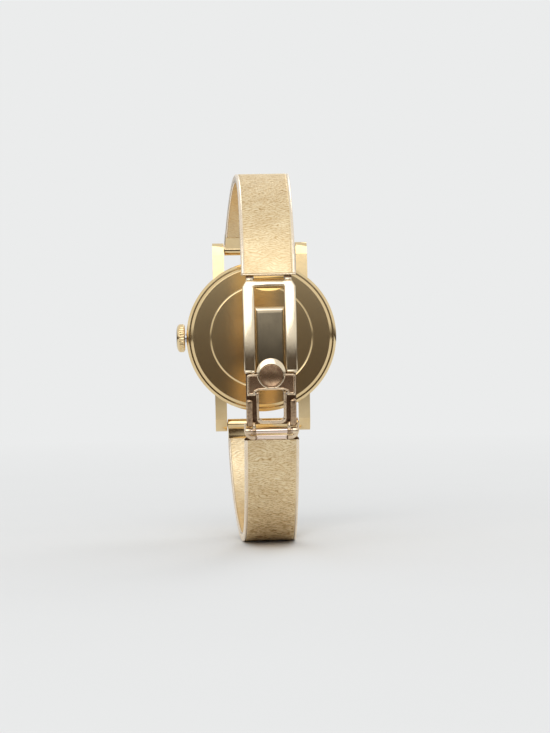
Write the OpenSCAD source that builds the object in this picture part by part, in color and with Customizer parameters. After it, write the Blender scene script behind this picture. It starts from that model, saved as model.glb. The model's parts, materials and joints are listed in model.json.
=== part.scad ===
// Dress watch on a woven mesh bracelet with a hinged frame clasp, lying closed as on a wrist.
// Origin: centre of the wrist opening. +X runs along the wrist, +Z points to 12 o'clock,
// the dial faces +Y, the clasp is at -Y and the crown is at -X. Millimetres.

/* [Loop of the bracelet] */
// Outer radius of the clasp's curve
clasp_r = 40; // [38:0.5:42]
// Half of the angle that the clasp's curve takes
clasp_deg = 20; // [19.5:0.1:20.5]
// How far the loop reaches up and down beyond the radius of the case
loop_past_case = 19; // [18.5:0.1:19.5]
// How far the top of the loop lies towards the dial from the origin
loop_shift = 3.5; // [3:0.1:4]
// How far the bars between the lugs lie towards the dial from the top of the loop
bar_out = 19.92; // [19.5:0.02:20.3]
// How far the middle of the case lies above the middle of the loop
head_rise = 4.1; // [3.8:0.1:4.3]

/* [Woven band] */
// Width of the band at the clasp
band_w_clasp = 9.2; // [9:0.1:9.6]
// Width of the band between the lugs
band_w_lug = 13.5; // [12.5:0.1:14.5]
// Thickness of the band
band_t = 1.6; // [1.4:0.1:1.7]
// Width of the smooth strip along each edge of the weave
band_edge = 0.45; // [0.3:0.05:0.7]
// How far the weave lies below the smooth strips
weave_recess = 0.08; // [0.05:0.01:0.15]
// Angle of the solid link between the weave and the bar
end_link_deg = 8; // [7:0.5:10]
// Play between the band and each lug
lug_play = 0.15; // [0.1:0.05:0.3]

/* [Case] */
// Wall of the case around the movement's ring
case_wall = 1.5; // [1.4:0.05:1.7]
// Width of the ring around the movement
ring_w = 0.3; // [0.3:0.05:0.45]
// Distance from the edge of the case to the bars between the lugs
bar_reach = 2.42; // [2.3:0.02:2.8]
// Width of each lug
lug_w = 2.2; // [1.8:0.1:2.6]
// Radius of a lug's tip
lug_tip_r = 1.35; // [1.2:0.05:1.5]
// Height of the spring bars above the outside of the case back
bar_h = 3.2; // [3:0.1:3.5]
// Radius of a spring bar
bar_r = 0.75; // [0.6:0.05:0.8]
// Radius of a spring bar's tip
bar_tip_r = 0.4; // [0.3:0.05:0.45]
// Thickness of the case back
back_t = 0.7; // [0.6:0.05:0.9]
// Width of the case back's seat around the bore
back_seat = 0.7; // [0.65:0.05:0.8]
// Width of the case back's rim
back_rim = 0.4; // [0.35:0.05:0.45]
// Depth of the case back's rim
back_rim_h = 0.75; // [0.6:0.05:0.8]
// Height of the bezel
bezel_h = 2; // [1.9:0.05:2.2]
// How far the crystal reaches past the bore
crystal_seat = 0.2; // [0.15:0.01:0.25]
// Width of the bezel's lip over the crystal
bezel_lip = 0.6; // [0.5:0.05:0.7]
// Thickness of the crystal at its edge
crystal_t = 0.6; // [0.5:0.05:0.7]
// Height of the crystal's dome
crystal_dome = 0.6; // [0.4:0.05:0.8]

/* [Crown] */
// Diameter of the crown
crown_d = 5.4; // [5:0.1:5.8]
// Length of the crown
crown_l = 1.6; // [1.5:0.1:1.9]
// Gap between the case and the crown
crown_gap = 0.3; // [0.25:0.05:0.5]
// Number of grooves round the crown
crown_grooves = 30; // [24:1:36]
// How far the crown pulls out to set the hands
crown_pull = 0.8; // [0.7:0.05:0.9]
// Radius of the winding stem
stem_r = 0.45; // [0.4:0.01:0.5]

/* [Movement] */
// Width of the main plate's edge outside the barrel
plate_edge = 0.815; // [0.8:0.005:0.9]
// Thickness of the main plate
plate_t = 1.5; // [1.45:0.01:1.6]
// Thickness of the bridges
bridge_t = 0.75; // [0.7:0.05:0.9]
// Height of the space for the wheels
train_h = 1.25; // [1.2:0.05:1.4]
// Thickness of the ratchet and crown wheels
winding_t = 0.3; // [0.25:0.01:0.35]
// Thickness of the thin wheels of the train
wheel_t = 0.15; // [0.12:0.01:0.16]
// Radius of the wheels' arbors
arbor_r = 0.22; // [0.18:0.01:0.25]
// Radius of the arbors' pivots
pivot_r = 0.1; // [0.08:0.01:0.12]
// Radius of the jewels
jewel_r = 0.5; // [0.45:0.01:0.55]
// Radius of the balance wheel
balance_r = 3.6; // [3.4:0.05:3.7]
// Thickness of the dial
dial_t = 0.4; // [0.3:0.05:0.5]
// Length of an hour marker
marker_l = 2.4; // [2:0.1:2.6]
// Width of an hour marker
marker_w = 0.5; // [0.4:0.05:0.6]
// Thickness of a hand
hand_t = 0.15; // [0.1:0.01:0.2]
// Length of the hour hand
hour_hand_l = 7.2; // [6.5:0.1:8]
// Length of the minute hand
minute_hand_l = 10.8; // [10:0.1:11.5]

/* [Clasp] */
// Thickness of the clasp's frame
frame_t = 1.3; // [1.2:0.05:1.4]
// How far each rail of that frame lies inside the band's edge
frame_inset = 0.15; // [0.1:0.01:0.2]
// Width of each rail
rail_w = 1.9; // [1.85:0.05:2]
// How far the hinge of the frame lies below the end of the clasp's curve
hinge_drop = 0.48; // [0.44:0.01:0.52]
// Height of the bridge across the top of the frame
frame_bridge_h = 1; // [0.8:0.1:1.2]
// How far the rails reach below the middle of the loop
rail_end = 2.5; // [2.3:0.1:2.7]
// Play beside the tongue plate, between the rails
tongue_play = 0.1; // [0.08:0.01:0.15]
// Height of the top of the tongue plate above the middle of the loop
tongue_top = 8.3; // [8:0.1:9]
// Thickness of the tongue plate
tongue_t = 0.7; // [0.6:0.05:0.75]
// How far the tongue plate lies below the frame's outside
tongue_drop = 0.4; // [0.35:0.01:0.5]
// Thickness of the lower frame's base
base_t = 0.6; // [0.5:0.05:0.7]
// How far the sides of the latch's round head lie inside the raised rim
head_inset = 0.13; // [0.11:0.01:0.2]
// How far the middle of the latch's head lies below the ends of the rails
head_drop = 0.2; // [0.15:0.01:0.3]
// Thickness of the latch
latch_t = 0.7; // [0.6:0.01:0.72]
// How far each wing of the latch lies inside the rails' outer sides
latch_inset = 0.4; // [0.36:0.02:0.5]
// Width of the rim round the plain disc on the latch's head
head_rim = 0.57; // [0.5:0.01:0.7]
// Depth of the sunk faces of the latch
latch_sink = 0.25; // [0.2:0.01:0.3]
// Height from the ends of the rails down to the latch's hinge
wing_h = 3.7; // [3.65:0.01:3.75]
// Height of the window in the lower frame
window_h = 5.05; // [4.8:0.05:5.3]
// Width of the raised rim round that window
rim_w = 0.47; // [0.4:0.01:0.5]
// Height of the foot of that rim, below the window
rim_foot = 0.6; // [0.5:0.05:0.7]
// Width of each side rail of the lower frame
side_rail_w = 1.1; // [0.9:0.05:1.15]
// How far each side rail lies inside the frame's outer sides
side_rail_inset = 0.26; // [0.24:0.01:0.3]
// Radius of the pin between the clasp and the lower band
clasp_pin_r = 0.47; // [0.42:0.01:0.48]
// How far that pin lies below the foot of the rim
pin_drop = 1.2; // [1.15:0.01:1.3]
// Width of each ear round the clasp's pin
ear_w = 0.7; // [0.6:0.05:0.75]

/* [Fits] */
// Play of a pin in its hole, on the radius
pin_play = 0.04; // [0.02:0.01:0.06]
// Play of a pivot in its jewel, on the radius
pivot_play = 0.02; // [0.01:0.005:0.03]
// Gap between parts that pass each other
side_play = 0.1; // [0.08:0.01:0.12]
// Gap between parts that are pressed or snapped together
seat_play = 0.05; // [0.03:0.01:0.06]
// Gap between the raised parts of the clasp
clasp_play = 0.06; // [0.04:0.01:0.08]
// Wall round the pins of the clasp
pin_wall = 0.2; // [0.18:0.01:0.24]

/* [Hidden] */
$fn = 96;

// Wheels: teeth, tooth size, and the place of each arbor in the plane of the dial
barrel_teeth = 56;
center_leaves = 8;
center_teeth = 64;
third_leaves = 8;
third_teeth = 60;
fourth_leaves = 8;
fourth_teeth = 64;
escape_leaves = 8;
escape_teeth = 15;
cannon_leaves = 12;
minute_teeth = 36;
minute_leaves = 10;
hour_teeth = 40;
winding_teeth = 12;
crown_teeth = 24;
ratchet_teeth = 40;
barrel_m = 0.194;
center_m = 0.135;
third_m = 0.1;
fourth_m = 0.094;
motion_m = 0.11;
winding_m = 0.25;
stem_pinion_m = 0.21;
function mesh_distance(m, a, b) = m * (a + b) / 2;
function polar(r, a) = [r * cos(a), r * sin(a)];
barrel_dir = 80;
third_dir = 215;
fourth_dir = 165;
escape_dir = -80;
pallet_dir = -25;
balance_dir = -5;
minute_dir = 150;
barrel_at = polar(mesh_distance(barrel_m, barrel_teeth, center_leaves), barrel_dir);
third_at = polar(mesh_distance(center_m, center_teeth, third_leaves), third_dir);
fourth_at = third_at + polar(mesh_distance(third_m, third_teeth, fourth_leaves), fourth_dir);
escape_at = fourth_at + polar(mesh_distance(fourth_m, fourth_teeth, escape_leaves), escape_dir);
pallet_at = escape_at + polar(2.7, pallet_dir);
balance_at = pallet_at + polar(3.4, balance_dir);
minute_at = polar(mesh_distance(motion_m, cannon_leaves, minute_teeth), minute_dir);
crown_wheel_reach = mesh_distance(winding_m, crown_teeth, ratchet_teeth);
crown_wheel_at = [barrel_at[0] + sqrt(pow(crown_wheel_reach, 2) - pow(barrel_at[1], 2)), 0];
crown_wheel_dir = atan2(-barrel_at[1], crown_wheel_at[0] - barrel_at[0]);
crown_wheel_r = winding_m * crown_teeth / 2;
pinion_x = crown_wheel_at[0] + crown_wheel_r - 0.75;
stem_in = pinion_x - 0.5 - crown_pull;
barrel_r = barrel_m * (barrel_teeth / 2 - 2.2);
barrel_tip_r = barrel_m * (barrel_teeth / 2 + 0.75);
click_dir = 150;
click_at = barrel_at + polar(winding_m * (ratchet_teeth / 2 + 1.2) + 0.9, click_dir);

// Radii of the case, from the movement outwards
plate_r = norm(barrel_at) + barrel_tip_r + plate_edge;
bore_r = plate_r + ring_w;
case_r = bore_r + case_wall;
back_r = bore_r + back_seat;
crystal_r = bore_r + crystal_seat;
bezel_hole_r = crystal_r - bezel_lip;
case_chamfer = 0.5;
bezel_slope = 0.6;
case_step = 0.3;
marker_out = bezel_hole_r - 0.7;
lug_in = band_w_lug / 2 + lug_play;
bar_tip_reach = 1.3;
gasket_w = 0.15;
back_gasket_w = 0.2;
crown_x = case_r + crown_gap;
crown_face = 0.6;

// Centres and ends of the loop's three curves, in the plane across the wrist
bar_y = loop_shift + bar_out;
bar_z = case_r + bar_reach;
loop_top = case_r + loop_past_case;
side_r = (loop_top - clasp_r * sin(clasp_deg)) / (1 - sin(clasp_deg));
side_cz = loop_top - side_r;
clasp_cy = loop_shift + (clasp_r - side_r) * cos(clasp_deg);
clasp_end_y = clasp_cy - clasp_r * cos(clasp_deg);
past_band = band_w_lug + 4;

// Curve of the band beside the case, from the top of the loop to the bar, for the upper half (end 1)
// and the lower one (end -1)
function bar_height(end) = bar_z + end * head_rise;
function bar_fall(end) = loop_top - bar_height(end);
function shoulder_r(end) = (pow(bar_out, 2) + pow(bar_fall(end), 2) - pow(band_t / 2, 2))
  / (2 * bar_fall(end) - band_t);
function shoulder_cz(end) = loop_top - shoulder_r(end);
function bar_deg(end) = asin((shoulder_r(end) - bar_fall(end)) / (shoulder_r(end) - band_t / 2));
function link_end_deg(end) = bar_deg(end) + end_link_deg;

// Heights inside the case, from the outside of the case back towards the dial
head_y = bar_y - bar_h;
case_z = 0.5;
ratchet_z = back_t + 0.15;
bridge_z = ratchet_z + winding_t + 0.05;
train_z = bridge_z + bridge_t;
plate_z = train_z + train_h;
plate_top = plate_z + plate_t;
dial_z = plate_top + 0.05;
dial_top = dial_z + dial_t;
marker_h = 0.25;
hour_hand_z = dial_top + marker_h + 0.1;
minute_hand_z = hour_hand_z + 2 * hand_t;
crystal_z = minute_hand_z + hand_t + 0.3;
case_top = dial_top + 0.15;
bezel_top = case_top + bezel_h;
stem_z = plate_z;
tube_r = stem_r + 0.4;

// Levels of the wheels
center_wheel_z = train_z + 0.1;
barrel_z = center_wheel_z + wheel_t + 0.1;
barrel_h = 1.25;
barrel_gear_z = barrel_z + barrel_h - 0.45;
fourth_wheel_z = barrel_z + 0.1;
third_wheel_z = fourth_wheel_z + wheel_t + 0.2;
escape_wheel_z = third_wheel_z + wheel_t + 0.12;
balance_z = barrel_z;
balance_h = 0.3;
motion_z = plate_top - 0.55;

// Places of the screws and of the bridges' feet, as distance and angle
screw_r = 0.3;
crown_screw_r = 0.7;
foot_r = 0.75;
edge_r = plate_r - 1;
barrel_bridge_feet = [[edge_r, 150], [edge_r, 42], [edge_r - 0.7, -32]];
train_bridge_feet = [[edge_r, 172], [edge_r, 207], [6.5, 147]];
balance_foot = [edge_r - 0.1, -62];
pallet_foot = [edge_r, 247];
dial_feet = [[edge_r, 100], [edge_r, -80]];
dial_foot_r = 0.35;
pivot_seat = 0.28;

// Turns from the plane of the dial, as seen from behind, to the model's own axes
module head() {
  translate([0, head_y, head_rise]) rotate([90, 0, 180]) children();
}

// A disc or ring in the head, between two heights
module disc(r, z0, z1, hole = 0) {
  difference() {
    translate([0, 0, z0]) cylinder(r = r, h = z1 - z0);
    if (hole > 0) translate([0, 0, z0 - 1]) cylinder(r = hole, h = z1 - z0 + 2);
  }
}

module at(p, z = 0) {
  translate([p[0], p[1], z]) children();
}

// Flat outline with straight-flanked teeth, the first tooth at angle 0
module gear_shape(n, m) {
  root = m * (n / 2 - 1.2);
  tip = m * (n / 2 + 0.75);
  step = 360 / n;
  polygon([for (i = [0:n - 1], k = [0:3])
    polar(k == 1 || k == 2 ? tip : root, step * (i + [-0.27, -0.1, 0.1, 0.27][k]))]);
}

module gear(n, m, z, t, turn = 0) {
  translate([0, 0, z]) rotate([0, 0, turn]) linear_extrude(t) gear_shape(n, m);
}

// Turn that puts a gap of the driven gear opposite a tooth of its driver
function meshed(dir, n) = dir + 180 + 180 / n;

// An arbor with a thin pivot at both ends
module arbor(z0, z1, r = arbor_r) {
  translate([0, 0, z0]) cylinder(r = pivot_r, h = z1 - z0);
  translate([0, 0, z0 + 0.35]) cylinder(r = r, h = z1 - z0 - 0.7);
}

// Wheel with a hub and crossings, and its teeth
module train_wheel(n, m, z, dir) {
  rim = m * (n / 2 - 1.2) - 0.35;
  hub = 0.6;
  difference() {
    gear(n, m, z, wheel_t, dir);
    translate([0, 0, z - 1]) cylinder(r = rim, h = 2);
  }
  translate([0, 0, z]) cylinder(r = hub, h = wheel_t);
  for (a = [0:90:270]) rotate([0, 0, a])
    translate([hub - 0.1, -0.2, z]) cube([rim - hub + 0.2, 0.4, wheel_t]);
}

// Part of a ring, w wide along X, about an axis along X through (cy, cz), between two angles
module sector(cy, cz, r0, r1, a0, a1, w) {
  translate([0, cy, cz]) rotate([90, 0, 90])
    rotate_extrude(angle = a1 - a0, start = a0) translate([r0, -w / 2]) square([r1 - r0, w]);
}

module along_x(x0, x1) {
  translate([x0, 0, 0]) rotate([90, 0, 90]) linear_extrude(x1 - x0) children();
}

// Round bar along X at a point of the plane across the wrist
module cross_pin(y, z, r, x0, x1) {
  translate([x0, y, z]) rotate([0, 90, 0]) cylinder(r = r, h = x1 - x0);
}

// Half of the band's width at a depth: nearly even at the clasp, flaring towards the lugs
function band_half(y) = band_w_clasp / 2
  + (band_w_lug - band_w_clasp) / 2 * pow(max(0, min(1, (y - clasp_end_y) / (bar_y - clasp_end_y))), 3);

module band_plan(inset = 0) {
  steps = 12;
  y0 = clasp_end_y;
  y1 = bar_y;
  ys = concat([y0 - 5], [for (i = [0:steps]) y0 + (y1 - y0) * i / steps], [y1 + 5]);
  n = len(ys) - 1;
  translate([0, 0, -loop_top - 5]) linear_extrude(2 * loop_top + 10)
    polygon(concat([for (i = [0:n]) [band_half(ys[i]) - inset, ys[i]]],
      [for (i = [n:-1:0]) [inset - band_half(ys[i]), ys[i]]]));
}

// Woven strip between two angles of one curve, with smooth edges
module woven(cy, cz, r, a0, a1) {
  difference() {
    intersection() {
      sector(cy, cz, r - band_t, r, a0, a1, past_band);
      band_plan();
    }
    intersection() {
      sector(cy, cz, r - weave_recess, r + 1, a0 - 1, a1 + 1, past_band);
      band_plan(band_edge);
    }
  }
}

// Keeps what lies above a height
module above(z) {
  intersection() {
    children();
    translate([-past_band, -2 * loop_top, z]) cube([2 * past_band, 4 * loop_top, 2 * loop_top]);
  }
}

// Depth of a point of the clasp at a height above the middle and a radius from the clasp's centre
function clasp_y(z, r) = clasp_cy - sqrt(r * r - z * z);
// Angle of a height on the band's curve beside the clasp
function side_angle(z) = 180 - asin((z - side_cz) / side_r);

// Curved plate of the clasp between two radii, cut to a flat outline drawn as seen from outside
module clasp_plate(r0, r1) {
  intersection() {
    sector(clasp_cy, 0, r0, r1, 150, 210, band_w_lug);
    translate([0, clasp_cy - clasp_r + 15, 0]) rotate([90, 0, 0]) linear_extrude(25) children();
  }
}

module both_sides() {
  children();
  mirror([1, 0, 0]) children();
}

// Flat outline between two heights, on both sides of the middle
module strips(x0, x1, z0, z1) {
  both_sides() translate([x0, z0]) square([x1 - x0, z1 - z0]);
}

// Widths of the clasp, from its middle
frame_half = band_w_clasp / 2 - frame_inset;
gap_half = frame_half - rail_w;
rim_out = gap_half;
window_half = rim_out - rim_w;
latch_half = frame_half - latch_inset;
latch_r = rim_out - head_inset;
disc_r = latch_r - head_rim;
rail_out = frame_half - side_rail_inset;
ear_in = rim_out + clasp_play;
ear_out = ear_in + ear_w;
clasp_pin_half = frame_half - 0.1;

// Radii of the clasp, from the middle of its curve
hinge_r = clasp_r - 0.5;
tongue_r = clasp_r - tongue_drop;
base_r = tongue_r - tongue_t;
latch_base_r = tongue_r + seat_play;
latch_top_r = latch_base_r + latch_t;
latch_pin_path = clasp_r - 0.4;

// Hinge between the upper band and the clasp's frame
knuckle_r = 0.36;
hinge_pin_r = 0.2;
knuckle_w = gap_half;
frame_chamfer = 0.6;
hinge_z = clasp_r * sin(clasp_deg) - hinge_drop;
hinge_y = clasp_y(hinge_z, hinge_r);
cap_z = hinge_z + knuckle_r + side_play;
mesh_end_upper = cap_z + 0.25;
frame_top = hinge_z - knuckle_r - 0.15;

// Latch, window and lower pin, as distances below the middle of the loop
latch_pin_r = 0.18;
latch_pin_z = rail_end + wing_h;
latch_pin_y = clasp_y(latch_pin_z, latch_pin_path);
head_z = rail_end + head_drop;
disc_z = head_z + 0.3;
wing_top = rail_end + 0.5;
wing_bottom = latch_pin_z + 0.25;
window_top = latch_pin_z - 0.55;
window_bottom = window_top + window_h;
rim_bottom = window_bottom + rim_foot;
side_rail_top = latch_pin_z + 0.9;
clasp_pin_z = rim_bottom + pin_drop;
clasp_pin_y = clasp_y(clasp_pin_z, hinge_r);
side_rail_bottom = clasp_pin_z - 0.75;
stirrup_bar_z = clasp_pin_z + 0.8;
mesh_end_lower = clasp_pin_z + 1.55;

// Case

// Lug with straight sides, sloping from the case down to a round tip about the bar
module lug(side) {
  root = sqrt(pow(bore_r, 2) - pow(lug_in, 2));
  knee = bar_z - 1;
  front = bar_z + 0.4;
  front_half = lug_tip_r - 0.06;
  translate([side > 0 ? lug_in : -lug_in - lug_w, 0, 0]) rotate([90, 0, 90]) linear_extrude(lug_w) {
    polygon([[root, case_z + 0.4], [root, case_top - 0.8], [knee, case_top - 1.2],
      [front, bar_h + front_half], [front, bar_h - front_half], [knee, case_z + 0.9]]);
    translate([bar_z, bar_h]) circle(r = lug_tip_r);
  }
}

module case_middle() {
  color("gold") head() difference() {
    union() {
      rotate_extrude() polygon([[bore_r - 1, case_z], [case_r - case_chamfer, case_z],
        [case_r, case_z + case_chamfer], [case_r, case_top - 0.7], [case_r - case_step, case_top],
        [bore_r - 1, case_top]]);
      for (end = [0, 180], side = [-1, 1]) rotate([0, 0, end]) lug(side);
    }
    translate([0, 0, -1]) cylinder(r = bore_r, h = case_top + 2);
    translate([0, 0, -1]) cylinder(r = back_r + seat_play, h = back_t + back_rim_h + 1);
    rotate([0, 90, 0]) translate([-stem_z, 0, 0]) cylinder(r = tube_r + seat_play, h = case_r + 2);
    for (end = [-1, 1]) translate([-lug_in - bar_tip_reach - 0.1, end * bar_z, bar_h])
      rotate([0, 90, 0]) cylinder(r = bar_tip_r + pin_play, h = 2 * (lug_in + bar_tip_reach + 0.1));
  }
}

module crown_tube() {
  color("goldenrod") head() translate([0, 0, stem_z]) rotate([0, 90, 0]) difference() {
    translate([0, 0, bore_r + 0.2]) cylinder(r = tube_r, h = case_wall + crown_gap - 0.3);
    cylinder(r = stem_r + pin_play, h = case_r + 2);
  }
}

module bezel() {
  color("gold") head() rotate_extrude() polygon([[crystal_r + gasket_w, case_top],
    [case_r - case_step, case_top], [case_r - case_step, case_top + 0.3],
    [case_r - case_step - bezel_slope, bezel_top], [bezel_hole_r, bezel_top],
    [bezel_hole_r, crystal_z + crystal_t + seat_play],
    [crystal_r + gasket_w, crystal_z + crystal_t + seat_play]]);
}

module crystal() {
  top = crystal_z + crystal_t;
  edge = bezel_hole_r - side_play;
  step_h = 0.1;
  steps = 10;
  color("lightcyan") head() rotate_extrude() polygon(concat([[0, crystal_z], [crystal_r, crystal_z],
    [crystal_r, top], [edge, top], [edge, top + step_h]], [for (i = [steps - 1:-1:0])
      [edge * i / steps, top + step_h + (crystal_dome - step_h) * (1 - pow(i / steps, 2))]]));
}

module crystal_gasket() {
  color("ivory") head() disc(crystal_r + gasket_w - 0.02, case_top, crystal_z, crystal_r - 0.45);
}

module case_back() {
  color("gold") head() difference() {
    rotate_extrude() polygon([[0, 0], [back_r - 0.5, 0], [back_r, 0.4], [back_r, back_t + back_rim_h],
      [back_r - back_rim, back_t + back_rim_h], [back_r - back_rim, back_t], [0, back_t]]);
    rotate([0, 0, 90]) translate([back_r - 0.6, -1.2, -1]) cube([2, 2.4, 1.3]);
  }
}

module back_gasket() {
  color("dimgray") head() disc(back_r - back_rim - seat_play, back_t + seat_play, back_t + 0.6,
    back_r - back_rim - seat_play - back_gasket_w);
}

module spring_bars() {
  color("silver") for (end = [-1, 1]) {
    z = head_rise + end * bar_z;
    cross_pin(bar_y, z, bar_r, side_play - lug_in, lug_in - side_play);
    cross_pin(bar_y, z, bar_tip_r, -lug_in - bar_tip_reach, lug_in + bar_tip_reach);
  }
}

// Crown with a rounded outer face and grooves round its side
module crown() {
  r = crown_d / 2;
  bore_end = crown_l - crown_face;
  groove = 0.12;
  groove_w = 0.22;
  color("gold") head() translate([0, 0, stem_z]) rotate([0, 90, 0]) difference() {
    translate([0, 0, crown_x]) rotate_extrude() polygon([[stem_r, 0], [r - 0.2, 0], [r, 0.2],
      [r, crown_l - 0.5], [r - 0.35, crown_l - 0.1], [r - 0.8, crown_l],
      [0, crown_l], [0, bore_end], [stem_r, bore_end]]);
    for (i = [0:crown_grooves - 1]) rotate([0, 0, i * 360 / crown_grooves])
      translate([r - groove, -groove_w / 2, crown_x + 0.25]) cube([1, groove_w, crown_l - 0.85]);
  }
}

module winding_stem() {
  color("silver") head() translate([0, 0, stem_z]) rotate([0, 90, 0])
    translate([0, 0, stem_in]) cylinder(r = stem_r, h = crown_x + crown_l - crown_face - stem_in);
}

// Dial and hands

module dial() {
  color("ivory") head() {
    disc(bore_r - side_play, dial_z, dial_top, 1);
    for (p = dial_feet) at(spot(p), dial_z - 0.7) cylinder(r = dial_foot_r, h = 0.8);
  }
}

// Twelve bars, wider at 12, 3, 6 and 9 o'clock
module hour_markers() {
  for (i = [0:11]) {
    w = marker_w * (i % 3 == 0 ? 1.6 : 1);
    color("gold") head() rotate([0, 0, i * 30])
      translate([marker_out - marker_l, -w / 2, dial_top]) cube([marker_l, w, marker_h]);
  }
}

// Tapered hand with a round boss on its tube
module hand(l, w, boss, hole, z) {
  difference() {
    translate([0, 0, z]) linear_extrude(hand_t) {
      circle(r = boss);
      polygon([[-w / 2, -1.8], [w / 2, -1.8], [w * 0.7, l * 0.4], [0, l], [-w * 0.7, l * 0.4]]);
    }
    translate([0, 0, z - 1]) cylinder(r = hole, h = 2);
  }
}

module hour_hand() {
  color("gold") head() rotate([0, 0, 55]) hand(hour_hand_l, 0.8, 1.15, 0.85, hour_hand_z);
}

module minute_hand() {
  color("gold") head() rotate([0, 0, -60]) hand(minute_hand_l, 0.7, 0.9, 0.5, minute_hand_z);
}

// Movement: plate and bridges

module holes_at(points, r, z0, z1) {
  for (p = points) translate([p[0], p[1], z0]) cylinder(r = r, h = z1 - z0);
}

function spot(p) = polar(p[0], p[1]);
jewel_spots = [third_at, fourth_at, escape_at, pallet_at, balance_at];
screw_spots = [for (p = concat(barrel_bridge_feet, train_bridge_feet, [balance_foot])) spot(p)];

module main_plate() {
  color("lightsteelblue") head() difference() {
    disc(plate_r, plate_z, plate_top);
    at(barrel_at, plate_z - 1) cylinder(r = barrel_m * (barrel_teeth / 2 + 1.5), h = 1.45);
    translate([0, 0, plate_z - 1]) cylinder(r = 1.2, h = 1.45);
    translate([0, 0, plate_z - 1]) cylinder(r = 0.55, h = 4);
    at(barrel_at, plate_z - 1) cylinder(r = 0.62, h = 4);
    translate([pinion_x - 1.5, -1.65, plate_z - 1]) cube([3.9, 3.3, 4]);
    rotate([0, 90, 0]) translate([-stem_z, 0, stem_in - 0.4]) cylinder(r = stem_r + side_play, h = 10);
    translate([0, 0, motion_z]) cylinder(r = 2.6, h = 2);
    at(minute_at, motion_z) cylinder(r = 2.4, h = 2);
    holes_at(jewel_spots, jewel_r, plate_z - 1, plate_z + 0.4);
    holes_at(jewel_spots, 0.2, plate_z - 1, plate_z + 0.8);
    holes_at(screw_spots, screw_r, plate_z - 1, plate_z + 0.8);
    for (p = dial_feet) at(spot(p), dial_z - 0.8) cylinder(r = dial_foot_r + seat_play, h = 1);
    at(crown_wheel_at, plate_z - 1) cylinder(r = crown_screw_r, h = 1.65);
  }
  color("lightsteelblue") head() at(minute_at, motion_z - 0.2) cylinder(r = 0.12, h = 0.7);
}

// A bridge: a flat outline with feet that stand on the main plate and holes for its jewels
module bridge(feet, jewels, z = bridge_z) {
  difference() {
    union() {
      translate([0, 0, z]) linear_extrude(bridge_t) intersection() {
        circle(r = plate_r);
        children();
      }
      for (p = feet) at(spot(p), z) cylinder(r = foot_r, h = plate_z - z);
    }
    for (p = feet) at(spot(p), z - 1) cylinder(r = screw_r + 0.02, h = 10);
    for (p = feet) at(spot(p), z - 1) cylinder(r = foot_r - 0.15, h = 1.3);
    holes_at(jewels, jewel_r, z - 1, z + 3);
  }
}

module barrel_bridge() {
  color("silver") head() difference() {
    bridge(barrel_bridge_feet, []) polygon([[-plate_r, 5.2], [-plate_r, plate_r], [plate_r, plate_r],
      [plate_r, -7.5], [7.2, -7.5], [2.6, -2.2], [2.2, 1.2], [-4.5, 4.6]]);
    at(barrel_at, 0) cylinder(r = 0.8, h = 5);
    at(click_at, 0) cylinder(r = 0.25 + pin_play, h = 5);
    at(crown_wheel_at, 0) cylinder(r = crown_wheel_r + 0.2, h = 5);
  }
}

module train_bridge() {
  color("silver") head() difference() {
    bridge(train_bridge_feet, [third_at, fourth_at, escape_at]) {
      polygon([[-plate_r, 5], [-plate_r, -4.5], [-8.9, -7.9], [-5.6, -6.6], [-4.6, -4.2], [-2.4, -2.4],
        [1, -1.3], [1.4, 0.9], [-4.8, 4.2]]);
      circle(r = 1.4);
    }
    translate([0, 0, -1]) cylinder(r = pivot_r + 0.1, h = 5);
  }
}

module balance_cock() {
  color("silver") head() bridge([balance_foot], [balance_at]) {
    translate(balance_at) circle(r = 1.5);
    polygon([balance_at + [-0.6, -1.2], balance_at + [1.3, 0.6], [8.2, -8], [8.2, -plate_r],
      [3.4, -plate_r]]);
  }
}

module pallet_cock() {
  z = third_wheel_z;
  t = 0.2;
  foot = spot(pallet_foot);
  color("silver") head() difference() {
    union() {
      translate([0, 0, z]) linear_extrude(t) {
        translate(pallet_at) circle(r = 0.45);
        polygon([pallet_at + [-0.4, -0.1], pallet_at + [0.4, -0.1], foot + [0.7, 0.2], foot + [-0.7, 0]]);
        translate(foot) circle(r = foot_r);
      }
      at(foot, z) cylinder(r = foot_r, h = plate_z - z);
    }
    at(pallet_at, z - 1) cylinder(r = pivot_r + pivot_play, h = 3);
  }
}

module jewels() {
  color("crimson") head() {
    for (p = jewel_spots) at(p, plate_z) disc(jewel_r, 0, 0.3, pivot_r + pivot_play);
    for (p = [third_at, fourth_at, escape_at, balance_at])
      at(p, train_z - 0.3) disc(jewel_r, 0, 0.3, pivot_r + pivot_play);
  }
}

module bridge_screws() {
  color("steelblue") head() for (p = screw_spots) at(p, bridge_z) difference() {
    union() {
      cylinder(r = foot_r - 0.17, h = 0.3);
      cylinder(r = screw_r, h = plate_z - bridge_z + 0.75);
    }
    translate([-1, -0.08, -0.5]) cube([2, 0.16, 0.62]);
  }
}

module movement_ring() {
  color("silver") head() difference() {
    disc(bore_r - seat_play, train_z + 0.2, plate_top, plate_r + seat_play);
    rotate([0, 90, 0]) translate([-stem_z, 0, plate_r - 2]) cylinder(r = stem_r + side_play, h = ring_w + 4);
  }
}

// Movement: going train

module barrel() {
  wall = 0.2;
  color("khaki") head() at(barrel_at) difference() {
    union() {
      translate([0, 0, barrel_z]) cylinder(r = barrel_r, h = barrel_h);
      gear(barrel_teeth, barrel_m, barrel_gear_z, 0.4, barrel_dir + 180);
    }
    translate([0, 0, barrel_z + wall]) cylinder(r = barrel_r - wall, h = barrel_h - 2 * wall);
    translate([0, 0, barrel_z - 1]) cylinder(r = 0.5 + pin_play, h = 4);
  }
}

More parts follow.
